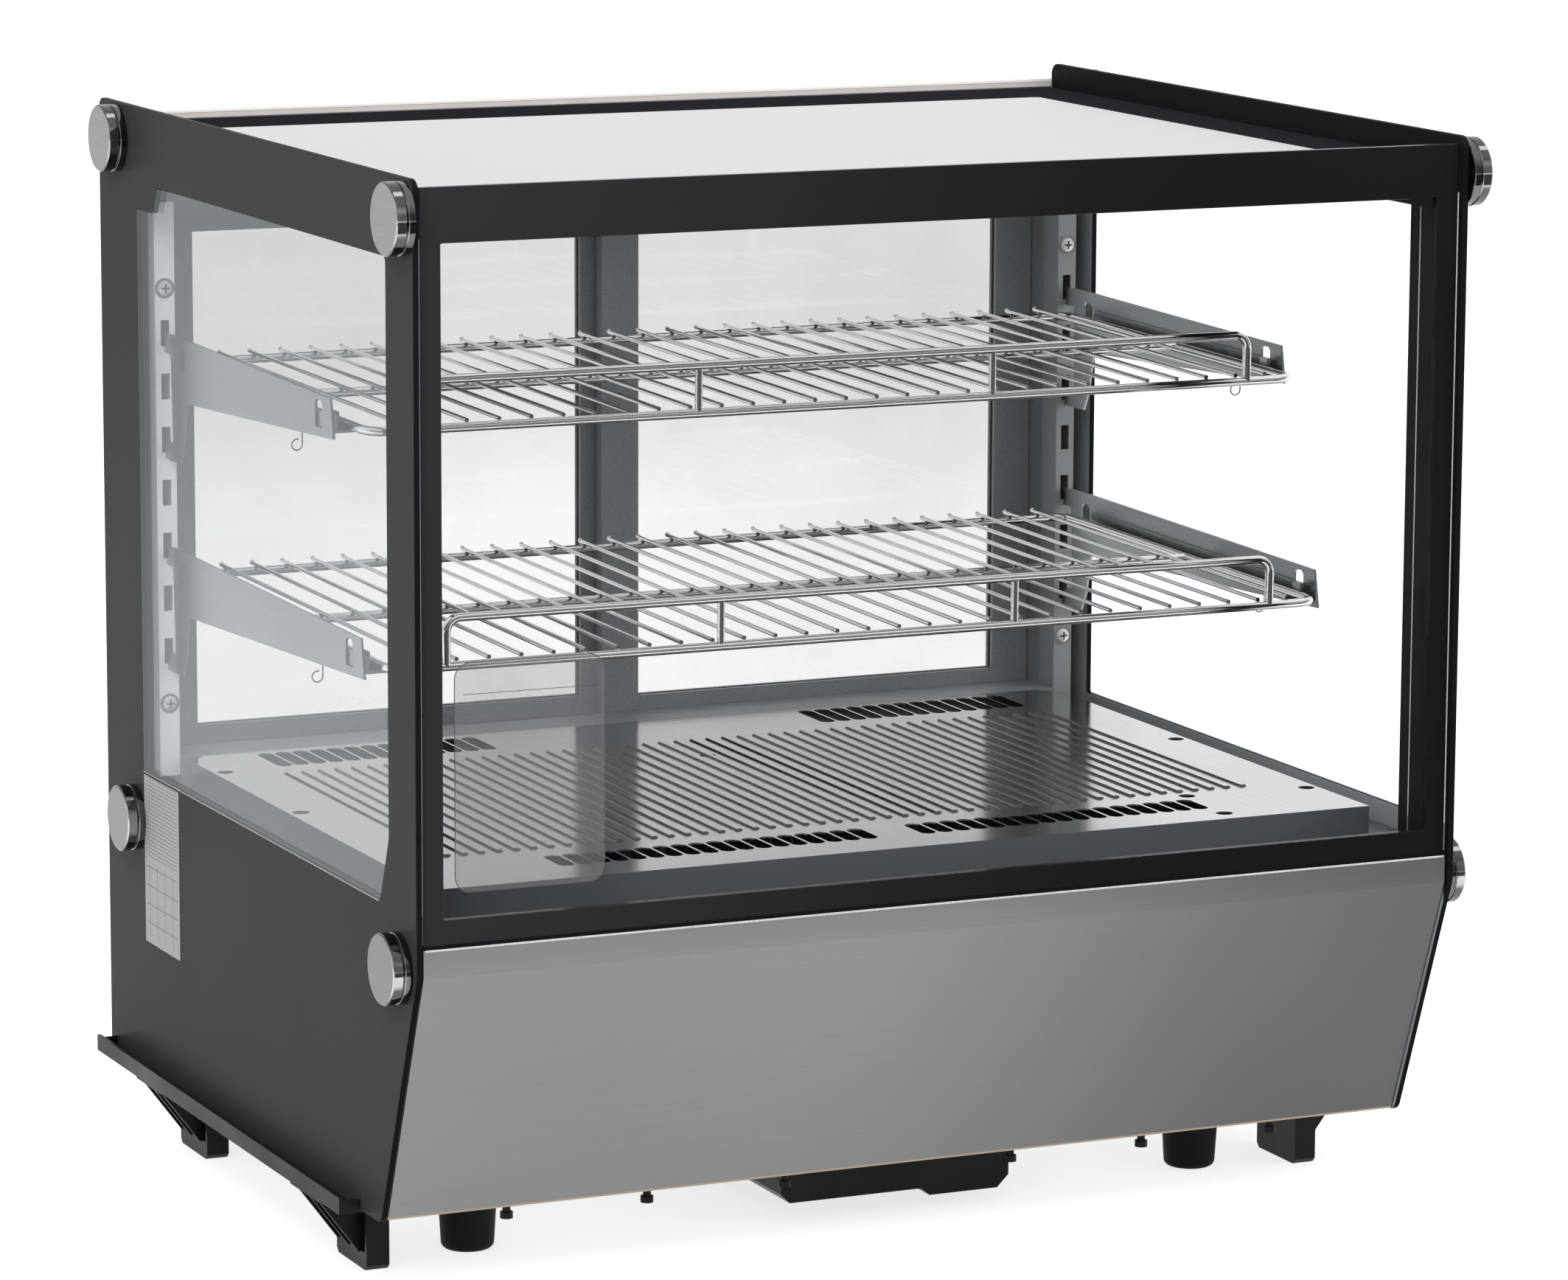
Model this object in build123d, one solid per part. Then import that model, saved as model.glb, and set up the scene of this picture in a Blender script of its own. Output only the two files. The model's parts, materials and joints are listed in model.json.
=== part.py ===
# Countertop refrigerated display case, in millimetres.
# X runs to the right, Y to the back and Z up. The origin is on the counter, below the case's centre.
# Glass box on a slanted lower housing, two wire shelves on hooked brackets, and two rear sliding doors.
import math
import os

from build123d import *

os.makedirs("parts", exist_ok=True)

# Overall size
CASE_WIDTH = 702.0
CASE_DEPTH = 568.0
CASE_HEIGHT = 686.0
SKIN = 1.2
GAP = 0.3

# Levels, from the counter up
FOOT_HEIGHT = 51.0
HOUSING_TOP = 232.0
STEEL_TOP = 231.0
DECK_TOP = 255.0
DOOR_TRACK_FLOOR = 247.0
HEADER_UNDERSIDE = 622.0
TOP_GLASS_TOP = 669.5
FRONT_GLASS_TOP = 681.0

# Glass
SIDE_GLASS = 4.0
FRONT_GLASS = 5.0
TOP_GLASS = 4.0
DOOR_GLASS = 4.0
GLASS_SEAL = 1.5
FRONT_SETBACK = 4.0
STEEL_SETBACK = 2.0

# Slanted toe of the side glass and of the steel front
BEND_HEIGHT = 214.0
TOE_Y = -222.0
PANEL_CORNER_R = 8.0
BEND_R = 18.0

# Deck of the display chamber
DECK_WIDTH = 640.0
DECK_FRONT = -230.0
DECK_SHEET = 1.0
DECK_CORNER = 14.0
RIB_PITCH = 11.5
RIB_WIDTH = 6.0
RIB_HEIGHT = 1.2
RIB_FRONT = -142.0
RIB_REAR = 140.0
RIB_FIELD = 564.0
VENT_PITCH = 12.0
VENT_WIDTH = 10.2
VENT_CUT = 3.2
FRONT_VENTS = (-181.5, 32.0)
REAR_VENTS = (187.0, 46.0)

# Insulated tub under the deck
TUB_FLOOR = 190.0
TUB_RIM = 236.0
TUB_WALL = 20.0
TUB_FLOOR_WALL = 14.0
TUB_FRONT = -268.0

# Shelf standards, and the brackets that hook into them
STANDARD_FACE = 220.5
STANDARD_X = 328.8
STANDARD_WIDTH = 13.6
STANDARD_DEPTH = 22.1
STANDARD_BOTTOM = 243.0
STANDARD_TOP = 622.0
SLOT_PITCH = 35.0
SLOT_TOP = 545.0
SLOT_COUNT = 7
SLOT_HEIGHT = 17.0
SLOT_WIDTH = 6.0
SCREW_LEVELS = (291.5, 566.0)
UPPER_SLOT = 0
LOWER_SLOT = 4
BRACKET_SHEET = 1.5
BRACKET_LIFT = 5.0
BRACKET_DROP = 7.6
HOOK_NECK = 8.0
UPPER_BRACKET_FRONT = -90.0
LOWER_BRACKET_FRONT = -140.0
LEDGE_DROP = 24.0
LEDGE_WIDTH = 14.0
TAB_INSET = 5.2
TAB_HEIGHT = 10.0

# Wire shelves
FRAME_WIRE = 6.0
CROSS_WIRE = 3.0
POST_WIRE = 5.0
WIRE_SIDES = 8
WIRE_PITCH = 21.2
WIRES_EACH_SIDE = 14
SHELF_HALF_WIDTH = 318.0
SHELF_REAR = 206.0
UPPER_SHELF_FRONT = -125.0
LOWER_SHELF_FRONT = -160.0
RAIL_RISE = 30.0
RAIL_HALF_WIDTH = 283.0
RAIL_POST_X = 101.0
RAIL_BEND = 9.0
SHELF_TILT = 0.6

# Rear doors and their frame
DOOR_THICKNESS = 10.0
INNER_DOOR_Y = 257.0
OUTER_DOOR_Y = 271.0
DOOR_GAP = 1.0
POST_INNER_X = 320.0
POST_FRONT = 242.6
SILL_FRONT = 218.0
HEADER_FRONT = 226.0
DOOR_BOTTOM = 250.0
DOOR_TOP = 620.0
LEFT_DOOR_LAP = 11.9
RIGHT_DOOR_LAP = 5.2
DOOR_STILE = 27.0
BOTTOM_RAIL = 15.0
TOP_RAIL = 24.0
GLASS_REBATE = 6.0
FIN = 2.0
FIN_TOP = 255.0
FIN_BOTTOM = 608.0

# Glass fixing knobs, four on each side
KNOB_R = 21.75
KNOB_BASE = 5.0
KNOB_GROOVE = 0.8
KNOB_CAP = 6.9
KNOB_STUD_R = 2.0
KNOB_PLACES = ((-270.0, 662.5), (247.0, 662.5), (-257.0, 216.0), (227.0, 216.0))

# Frame bars round the glass, and the lamp
TOP_RAIL_WIDTH = 16.0
TOP_RAIL_HEIGHT = 24.5
TOP_RAIL_WALL = 2.0
CORNER_POST_INNER = 336.0
CORNER_POST_REAR = -239.0
LAMP_WIDTH = 18.0
LAMP_HEIGHT = 14.5
LAMP_LENGTH = 620.0

# Underside
CHANNEL_LIP = 365.0
CHANNEL_SHEET = 1.5
CHANNEL_LIP_SHEET = 2.5
CHANNEL_TOP = 60.0
CHANNEL_FRONT = -188.0
CHANNEL_REAR = 272.0
CHANNEL_INNER = 314.0
LEG_OUTER = 332.0
LEG_INNER = 317.0
LEG_DEPTH = 52.0
LEG_FRONT_Y = -121.0
LEG_REAR_Y = 173.0
LEG_BLOCK = 11.0
LEG_WALL = 3.0
RUBBER_FOOT_X = 254.0
RUBBER_FOOT_Y = (-118.0, 190.0)
RUBBER_FOOT_TOP_R = 19.5
RUBBER_FOOT_BASE_R = 16.5
PEG_X = (78.0, 171.0, 264.0)
PEG_Y = -208.0

# Drip tray and its runners
TRAY_LEFT = -54.0
TRAY_RIGHT = 106.0
TRAY_FRONT = -150.0
TRAY_DEPTH = 200.0
TRAY_BOTTOM = 13.5
TRAY_SUMP = 8.5
TRAY_SUMP_LEFT = 50.0
TRAY_RIM = 42.0
TRAY_WALL = 2.0
TRAY_LIP = 6.0
TRAY_PLAY = 0.5
RUNNER_SHEET = 1.5

# Cold side, in the tub
FAN_PLATE = 120.0
FAN_PLATE_THICK = 25.0
EVAPORATOR_FAN = (-190.0, -10.0)
EVAPORATOR_SPAN = ((-100.0, 250.0), (-60.0, 60.0))
COIL_R = 4.0
FIN_SHEET = 1.0
DRAIN_PLACE = (26.0, -130.0)
DRAIN_R = 7.0
DRAIN_BORE = 5.0

# Hot side, in the machine compartment
COMPRESSOR_PLACE = (-190.0, 120.0)
COMPRESSOR_R = 62.0
COMPRESSOR_HEIGHT = 122.0
GROMMET_HEIGHT = 8.0
CONDENSER_SPAN = ((60.0, 280.0), (196.0, 240.0))
CONDENSER_HEIGHT = 115.0
CONDENSER_FAN_X = 170.0
CONDENSER_FAN_Y = 170.0
PIPE_R = 4.0

# Fans
FAN_BORE_R = 54.0
BLADE_R = 52.0
BLADE_COUNT = 7
BLADE_SHEET = 1.6
BLADE_PITCH = 32.0
HUB_R = 20.0
HUB_LENGTH = 14.0
SHAFT_R = 2.5
RUNNING_CLEARANCE = 0.05

# Rear panel, controller and switches
REAR_PANEL_Y = 277.8
LOUVRE_COLUMNS = (60.0, 170.0, 280.0)
LOUVRE_ROWS = 8
LOUVRE_PITCH = 16.0
LOUVRE_WIDTH = 90.0
LOUVRE_HEIGHT = 7.0
LOUVRE_FIRST = 80.0
LOUVRE_HOOD = 3.5
CONTROL_X = -220.0
CONTROL_Z = 186.0
CONTROL_WIDTH = 77.0
CONTROL_HEIGHT = 34.5
CONTROL_BODY = (71.0, 28.5)
CONTROL_DEPTH = 46.0
BEZEL = 2.5
LENS_WIDTH = 36.0
LENS_HEIGHT = 17.0
KEY_WIDTH = 8.0
KEY_HEIGHT = 5.5
KEY_TRAVEL = 0.8
KEY_PROUD = 1.2
KEY_PITCH = 9.0
SWITCH_X = (-120.0, -80.0)
SWITCH_WIDTH = 30.0
SWITCH_HEIGHT = 22.0
ROCKER_WIDTH = 24.0
ROCKER_HALF = 7.8
ROCKER_THICK = 4.0
ROCKER_TILT = 8.0
GLAND_PLACE = (-290.0, 90.0)

# Derived planes
half_width = CASE_WIDTH / 2
inner_width = half_width - SIDE_GLASS
front_y = -CASE_DEPTH / 2
rear_y = CASE_DEPTH / 2
steel_y = front_y + STEEL_SETBACK
front_glass_y = front_y + FRONT_SETBACK
top_glass_z = TOP_GLASS_TOP - TOP_GLASS
floor_top = FOOT_HEIGHT + SKIN
sides = (-1, 1)
wire_flat = math.cos(math.pi / WIRE_SIDES)


def span(x, y, z):
    """Box between two limits on each axis."""
    size = [abs(limit[1] - limit[0]) for limit in (x, y, z)]
    middle = [(limit[0] + limit[1]) / 2 for limit in (x, y, z)]
    return Pos(*middle) * Box(*size)


def side_span(side, x, y, z):
    """Box given for the right-hand side, or mirrored to the left when side is -1."""
    return span((side * x[0], side * x[1]), y, z)


def rod(start, end, radius):
    """Round bar between two points."""
    path = Line(start, end)
    return extrude(Plane(path @ 0, z_dir=path % 0) * Circle(radius), path.length)


def along_x(points, x):
    """Closed outline in Y and Z, extruded between two X limits."""
    face = Plane.YZ * make_face(Polyline(*points, close=True))
    return Pos(min(x), 0, 0) * extrude(face, abs(x[1] - x[0]), dir=(1, 0, 0))


def along_y(points, y):
    """Closed outline in X and Z, extruded between two Y limits."""
    corners = [(px, min(y), pz) for px, pz in points]
    face = make_face(Polyline(*corners, close=True))
    return extrude(face, abs(y[1] - y[0]), dir=(0, 1, 0))


def folded(points, sheet, x):
    """Sheet folded along an open outline in Y and Z, its thickness to the left of the path."""
    inner = []
    for index, point in enumerate(points):
        normals = []
        for a, b in zip(points[max(index - 1, 0):index + 1], points[max(index - 1, 0) + 1:index + 2]):
            length = math.hypot(b[0] - a[0], b[1] - a[1])
            normals.append((-(b[1] - a[1]) / length, (b[0] - a[0]) / length))
        if len(normals) == 1:
            normals.append(normals[0])
        dot = normals[0][0] * normals[1][0] + normals[0][1] * normals[1][1]
        reach = sheet / (1 + dot)
        inner.append((point[0] + reach * (normals[0][0] + normals[1][0]),
                      point[1] + reach * (normals[0][1] + normals[1][1])))
    return along_x(points + inner[::-1], x)


def save(name, shapes):
    """Write one node, as one solid or as a group of separate solids."""
    group = shapes if isinstance(shapes, list) else [shapes]
    solids = [solid for shape in group for solid in shape.solids()]
    result = solids[0] if len(solids) == 1 else Compound(children=solids)
    export_step(result, f"parts/{name}.step")


def toe_line(setback):
    """Front edge in Y and Z, from the bend down to the toe, set back from the side glass edge."""
    run = TOE_Y - front_y
    drop = BEND_HEIGHT - FOOT_HEIGHT
    bend_shift = setback * math.tan(math.atan2(run, drop) / 2)
    toe_shift = setback * math.hypot(run, drop) / drop
    return (front_y + setback, BEND_HEIGHT - bend_shift), (TOE_Y + toe_shift, FOOT_HEIGHT)


def knob_holes(side, radius, x):
    """Cylinders at the four knob places of one side, for cutting."""
    return [rod((side * x[0], y, z), (side * x[1], y, z), radius) for y, z in KNOB_PLACES]


# Glass box

def side_glass(side):
    """Side pane with its slanted toe, rounded corners and the holes for the knob studs."""
    bend, toe = toe_line(0)
    outline = Polyline(bend, toe, (rear_y, FOOT_HEIGHT), (rear_y, CASE_HEIGHT),
                       (front_y, CASE_HEIGHT), close=True)
    face = make_face(outline)
    corners = face.vertices()
    face = fillet([v for v in corners if v.Z > CASE_HEIGHT - 1 or v.Y > CASE_HEIGHT - 1], PANEL_CORNER_R)
    face = fillet(face.vertices().sort_by_distance((toe[0], toe[1], 0))[0], PANEL_CORNER_R)
    face = fillet(face.vertices().sort_by_distance((bend[0], bend[1], 0))[0], BEND_R)
    pane = extrude(Plane.YZ * face, SIDE_GLASS, dir=(1, 0, 0))
    pane = Pos(inner_width if side > 0 else -half_width, 0, 0) * pane
    hole_r = KNOB_STUD_R + GAP
    return pane - knob_holes(side, hole_r, (inner_width - 1, half_width + 1))


def front_glass():
    reach = inner_width - GLASS_SEAL
    low = STEEL_TOP + GLASS_SEAL
    return span((-reach, reach), (front_glass_y, front_glass_y + FRONT_GLASS), (low, FRONT_GLASS_TOP))


def front_glass_gasket():
    """Soft strip under the front glass and up both of its sides."""
    depth = (front_glass_y, front_glass_y + FRONT_GLASS)
    sill = span((-inner_width, inner_width), depth, (STEEL_TOP, STEEL_TOP + GLASS_SEAL))
    strips = [side_span(side, (inner_width - GLASS_SEAL, inner_width), depth,
                        (STEEL_TOP + GLASS_SEAL, FRONT_GLASS_TOP)) for side in sides]
    return sill + strips


def top_glass():
    reach = inner_width - GLASS_SEAL
    return span((-reach, reach), (front_glass_y + FRONT_GLASS, rear_y - FIN), (top_glass_z, TOP_GLASS_TOP))


def top_rail(side):
    """Hollow rail under the edge of the top glass, with a thick land for the knob studs."""
    outer = (inner_width - TOP_RAIL_WIDTH, inner_width)
    length = (front_glass_y + FRONT_GLASS, HEADER_FRONT)
    low = top_glass_z - TOP_RAIL_HEIGHT
    rail = side_span(side, outer, length, (low, top_glass_z))
    stud_land = KNOB_PLACES[0][1] - KNOB_STUD_R - TOP_RAIL_WALL
    hollow = side_span(side, (outer[0] + TOP_RAIL_WALL, outer[1] - TOP_RAIL_WALL), length,
                       (low + TOP_RAIL_WALL, stud_land))
    return rail - hollow - knob_holes(side, KNOB_STUD_R + RUNNING_CLEARANCE, (outer[0] - 1, outer[1] + 1))


def corner_post(side):
    """Hollow post in the front corner, between the tub rim and the rail."""
    wall = TOP_RAIL_WALL
    front = front_glass_y + FRONT_GLASS
    z = (TUB_RIM, top_glass_z - TOP_RAIL_HEIGHT)
    post = side_span(side, (CORNER_POST_INNER, inner_width), (front, CORNER_POST_REAR), z)
    return post - side_span(side, (CORNER_POST_INNER + wall, inner_width - wall),
                            (front + wall, CORNER_POST_REAR - wall), z)


def lamp_channel():
    """Open aluminium channel under the front of the top glass."""
    y0 = front_glass_y + FRONT_GLASS
    reach = LAMP_LENGTH / 2
    body = span((-reach, reach), (y0, y0 + LAMP_WIDTH), (top_glass_z - LAMP_HEIGHT, top_glass_z))
    trough = span((-reach, reach), (y0 + TOP_RAIL_WALL, y0 + LAMP_WIDTH - TOP_RAIL_WALL),
                  (top_glass_z - LAMP_HEIGHT, top_glass_z - TOP_RAIL_WALL))
    return body - trough


def lamp_lens():
    """Diffuser clipped between the walls of the lamp channel."""
    y0 = front_glass_y + FRONT_GLASS + TOP_RAIL_WALL
    y1 = y0 + LAMP_WIDTH - 2 * TOP_RAIL_WALL
    low = top_glass_z - LAMP_HEIGHT
    return span((-LAMP_LENGTH / 2, LAMP_LENGTH / 2), (y0, y1), (low, low + TOP_RAIL_WALL))


# Glass fixing knobs

def knob_bases():
    """Mirror discs against the glass, each with a smaller boss that makes the dark groove."""
    discs = []
    for side in sides:
        for y, z in KNOB_PLACES:
            face = half_width
            disc = rod((side * face, y, z), (side * (face + KNOB_BASE), y, z), KNOB_R)
            boss_end = face + KNOB_BASE + KNOB_GROOVE
            boss = rod((side * (face + KNOB_BASE), y, z), (side * boss_end, y, z), KNOB_R - 2)
            bore = rod((side * (face - 1), y, z), (side * (boss_end + 1), y, z), KNOB_STUD_R)
            discs.append(disc + boss - bore)
    return discs


def knob_caps():
    """Outer caps with a small bevel round the brushed face."""
    start = half_width + KNOB_BASE + KNOB_GROOVE
    end = start + KNOB_CAP
    caps = []
    for side in sides:
        for y, z in KNOB_PLACES:
            cap = rod((side * start, y, z), (side * end, y, z), KNOB_R)
            rim = cap.edges().filter_by(GeomType.CIRCLE).sort_by(Axis.X)[-1 if side > 0 else 0]
            caps.append(chamfer(rim, 0.8))
    return caps


def knob_studs():
    """Studs from the knobs into the rails and the housing walls."""
    end = half_width + KNOB_BASE + KNOB_GROOVE
    start = inner_width - TOP_RAIL_WIDTH
    return knob_holes(-1, KNOB_STUD_R, (start, end)) + knob_holes(1, KNOB_STUD_R, (start, end))


# Lower housing

def steel_front():
    """Folded steel front: rolled lip, short upright, slanted face and a flange below."""
    bend, toe = toe_line(STEEL_SETBACK)
    slope = (toe[0] - bend[0]) / (bend[1] - toe[1])
    toe_y = toe[0] - slope * SKIN
    reach = inner_width - SKIN
    path = [(steel_y + 14, STEEL_TOP), (steel_y, STEEL_TOP), bend,
            (toe_y, floor_top), (toe_y + 22, floor_top)]
    return folded(path, SKIN, (-reach, reach))


def base_pan():
    """Floor of the machine compartment with its two side walls and their top flanges."""
    bend, toe = toe_line(FRONT_SETBACK + FRONT_GLASS + GAP)
    reach = inner_width
    rear = REAR_PANEL_Y
    pan = span((-reach, reach), (toe[0], rear), (FOOT_HEIGHT, floor_top))
    outline = [toe, (rear, FOOT_HEIGHT), (rear, HOUSING_TOP), (bend[0], HOUSING_TOP), bend]
    for side in sides:
        pan += along_x(outline, (side * (reach - SKIN), side * reach))
        pan += side_span(side, (reach - 15, reach), (bend[0] + 14, rear), (HOUSING_TOP - SKIN, HOUSING_TOP))
    hole_r = KNOB_STUD_R + RUNNING_CLEARANCE
    for side in sides:
        pan -= knob_holes(side, hole_r, (reach - 3, reach + 1))
    x, y = DRAIN_PLACE
    pan -= Pos(x, y, FOOT_HEIGHT) * Cylinder(DRAIN_R + GAP, 4 * SKIN)
    return pan


def insulated_tub():
    """Foam-filled tub that carries the deck, open at the top, with a rim over the housing walls."""
    rim_x = inner_width - SKIN - GAP
    body_x = inner_width - TOP_RAIL_WIDTH
    rear = SILL_FRONT
    body = span((-body_x, body_x), (TUB_FRONT + SKIN, rear), (TUB_FLOOR, TUB_RIM))
    body += span((-rim_x, rim_x), (TUB_FRONT, rear), (HOUSING_TOP, TUB_RIM))
    cavity_x = DECK_WIDTH / 2 - TUB_WALL
    body -= span((-cavity_x, cavity_x), (DECK_FRONT + TUB_WALL, rear - TUB_WALL),
                 (TUB_FLOOR + TUB_FLOOR_WALL, TUB_RIM))
    x, y = DRAIN_PLACE
    return body - Pos(x, y, TUB_FLOOR) * Cylinder(DRAIN_R, 4 * TUB_FLOOR_WALL)


def vent_row(start, end, y, length):
    """Row of close, chamfered air slots along X."""
    count = int((end - start) / VENT_PITCH)
    outline = chamfer(Rectangle(VENT_WIDTH, length).vertices(), VENT_CUT)
    slot = Pos(0, 0, DECK_TOP) * extrude(outline, -DECK_SHEET)
    return [Pos(start + (index + 0.5) * VENT_PITCH, y, 0) * slot for index in range(count)]


def deck_panel():
    """Stainless deck: folded edges, pressed ribs, four rows of air slots and its screw holes."""
    half = DECK_WIDTH / 2
    face = chamfer(
        (Pos(0, (DECK_FRONT + SILL_FRONT) / 2) * Rectangle(DECK_WIDTH, SILL_FRONT - DECK_FRONT))
        .vertices().group_by(Axis.Y)[-1], DECK_CORNER)
    shell = Pos(0, 0, TUB_RIM) * extrude(face, DECK_TOP - TUB_RIM)
    inside = Pos(0, 0, TUB_RIM) * extrude(offset(face, -DECK_SHEET, kind=Kind.INTERSECTION),
                                          DECK_TOP - TUB_RIM - DECK_SHEET)
    deck = shell - inside
    cuts = vent_row(-224, -8, *FRONT_VENTS) + vent_row(20, 224, *FRONT_VENTS)
    cuts += vent_row(-274, -118, *REAR_VENTS) + vent_row(118, 274, *REAR_VENTS)
    for x, y in ((-half + 8, 160), (half - 8, 18), (-half + 8, 18), (half - 8, -162),
                 (228, -156), (224, -214), (0, 89)):
        hole = Pos(x, y, DECK_TOP) * extrude(RegularPolygon(5.5, 12), -DECK_SHEET)
        cuts.append(hole)
    profile = [(-RIB_WIDTH / 2, DECK_TOP), (RIB_WIDTH / 2, DECK_TOP),
               (RIB_WIDTH / 4, DECK_TOP + RIB_HEIGHT), (-RIB_WIDTH / 4, DECK_TOP + RIB_HEIGHT)]
    rib = along_y(profile, (RIB_FRONT, RIB_REAR))
    count = int(RIB_FIELD / RIB_PITCH)
    ribs = [Pos((index - (count - 1) / 2) * RIB_PITCH, 0, 0) * rib for index in range(count)]
    return (deck + ribs) - cuts


def condensate_channel(side):
    """Gutter along the foot of the side glass, closed at both ends."""
    plate_z = (FOOT_HEIGHT - CHANNEL_SHEET, FOOT_HEIGHT)
    lip_x = CHANNEL_LIP - CHANNEL_LIP_SHEET
    length = (CHANNEL_FRONT, CHANNEL_REAR)
    channel = side_span(side, (CHANNEL_INNER, CHANNEL_LIP), length, plate_z)
    channel += side_span(side, (lip_x, CHANNEL_LIP), length, (plate_z[0], CHANNEL_TOP))
    for y in (CHANNEL_FRONT, CHANNEL_REAR - CHANNEL_SHEET):
        end = (y, y + CHANNEL_SHEET)
        channel += side_span(side, (half_width, CHANNEL_LIP), end, (plate_z[0], CHANNEL_TOP - 2))
    return channel


def corner_leg(side, y_mid):
    """Moulded leg: foot block, two walls and three gussets that rise outwards to the gutter."""
    y0 = y_mid - LEG_DEPTH / 2
    y1 = y_mid + LEG_DEPTH / 2
    plate_top = FOOT_HEIGHT - CHANNEL_SHEET
    plate_low = plate_top - LEG_WALL
    block = side_span(side, (LEG_INNER, LEG_OUTER), (y0, y1), (0, LEG_BLOCK))
    block = chamfer(block.edges().filter_by(Axis.X).group_by(Axis.Z)[0], 3)
    leg = block + side_span(side, (LEG_INNER, LEG_OUTER), (y0, y0 + LEG_WALL), (LEG_BLOCK, plate_low))
    leg += side_span(side, (LEG_INNER, LEG_INNER + LEG_WALL), (y0, y1), (LEG_BLOCK, plate_low))
    leg += side_span(side, (LEG_INNER, CHANNEL_LIP - CHANNEL_LIP_SHEET), (y0, y1), (plate_low, plate_top))
    gusset = [(side * LEG_INNER, LEG_BLOCK - 2), (side * LEG_OUTER, LEG_BLOCK - 2),
              (side * (CHANNEL_LIP - 5), plate_low), (side * LEG_INNER, plate_low)]
    rib_step = (LEG_DEPTH - 2 * LEG_WALL) / 2.5
    for index in range(3):
        start = y1 - LEG_WALL - index * rib_step
        leg += along_y(gusset, (start, start + LEG_WALL))
    return leg


def rubber_foot(x, y):
    """Tapered rubber foot with a rounded sole."""
    foot = Pos(x, y, FOOT_HEIGHT / 2) * Cone(RUBBER_FOOT_BASE_R, RUBBER_FOOT_TOP_R, FOOT_HEIGHT)
    sole = foot.edges().filter_by(GeomType.CIRCLE).sort_by(Axis.Z)[0]
    return fillet(sole, 4)


def base_screw(x):
    """Screw under the front edge of the floor, its head down."""
    shank = rod((x, PEG_Y, FOOT_HEIGHT - 5), (x, PEG_Y, FOOT_HEIGHT), 2.5)
    return shank + rod((x, PEG_Y, FOOT_HEIGHT - 9), (x, PEG_Y, FOOT_HEIGHT - 5), 4)


def drip_tray():
    """Open tray with a deeper sump on its right and a lip along each side for the runners."""
    y1 = TRAY_FRONT + TRAY_DEPTH
    wall = TRAY_WALL
    left = TRAY_LEFT
    right = TRAY_RIGHT
    step = TRAY_SUMP_LEFT
    outline = [(left, TRAY_RIM), (left, TRAY_BOTTOM + 6), (left + 6, TRAY_BOTTOM), (step - 6, TRAY_BOTTOM),
               (step, TRAY_SUMP), (right - 8, TRAY_SUMP), (right, TRAY_SUMP + 8), (right, TRAY_RIM)]
    hollow = [(left + wall, TRAY_RIM), (left + wall, TRAY_BOTTOM + 7), (left + 7, TRAY_BOTTOM + wall),
              (step - 5, TRAY_BOTTOM + wall), (step + 1, TRAY_SUMP + wall), (right - 9, TRAY_SUMP + wall),
              (right - wall, TRAY_SUMP + 9), (right - wall, TRAY_RIM)]
    tray = along_y(outline, (TRAY_FRONT, y1)) - along_y(hollow, (TRAY_FRONT + wall, y1 - wall))
    for edge, reach in ((TRAY_LEFT, -TRAY_LIP), (TRAY_RIGHT, TRAY_LIP)):
        tray += span((edge, edge + reach), (TRAY_FRONT, y1), (TRAY_RIM - wall, TRAY_RIM))
    return tray


def tray_runner(edge, out):
    """Folded runner under the floor that holds one lip of the drip tray."""
    inside = edge + out * (TRAY_LIP + TRAY_PLAY)
    outside = inside + out * RUNNER_SHEET
    ledge_top = TRAY_RIM - TRAY_WALL - GAP
    length = (TRAY_FRONT, TRAY_FRONT + TRAY_DEPTH)
    runner = span((inside, outside), length, (ledge_top - RUNNER_SHEET, FOOT_HEIGHT))
    runner += span((edge + out * 1.5, inside), length, (ledge_top - RUNNER_SHEET, ledge_top))
    return runner + span((outside, outside + out * 8), length, (FOOT_HEIGHT - RUNNER_SHEET, FOOT_HEIGHT))


# Cold side

def fan_housing():
    """Square fan plate with a round opening, a motor on three arms and the motor's shaft, lying flat."""
    thick = FAN_PLATE_THICK
    plate = Box(FAN_PLATE, FAN_PLATE, thick) - Cylinder(FAN_BORE_R, thick)
    arm_z = -thick / 2 + 2
    for index in range(3):
        arm = Pos(FAN_BORE_R / 2 + 2, 0, arm_z) * Box(FAN_BORE_R, 5, 4)
        plate += Rot(0, 0, 90 + 120 * index) * arm
    plate += Pos(0, 0, -thick / 2 + 4) * Cylinder(HUB_R - 2, 8)
    shaft_top = thick / 2 - 2
    return plate + Pos(0, 0, (shaft_top - 4) / 2) * Cylinder(SHAFT_R, shaft_top + 4)


def fan_rotor():
    """Hub with pitched blades that turns on the fan housing's shaft."""
    low = -FAN_PLATE_THICK / 2 + 8 + 2 * GAP
    middle = low + HUB_LENGTH / 2
    hub = Pos(0, 0, middle) * Cylinder(HUB_R, HUB_LENGTH)
    hub -= Pos(0, 0, middle) * Cylinder(SHAFT_R + RUNNING_CLEARANCE, HUB_LENGTH)
    reach = BLADE_R - HUB_R + 3
    blade = Pos(HUB_R - 3 + reach / 2, 0, middle) * Rot(BLADE_PITCH, 0, 0) * Box(reach, 20, BLADE_SHEET)
    blade &= Pos(0, 0, middle) * Cylinder(BLADE_R, HUB_LENGTH)
    for index in range(BLADE_COUNT):
        hub += Rot(0, 0, index * 360 / BLADE_COUNT) * blade
    return hub


def flat_fan(shape):
    """Place a fan piece on the tub floor."""
    x, y = EVAPORATOR_FAN
    return Pos(x, y, TUB_FLOOR + TUB_FLOOR_WALL + FAN_PLATE_THICK / 2) * shape


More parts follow.
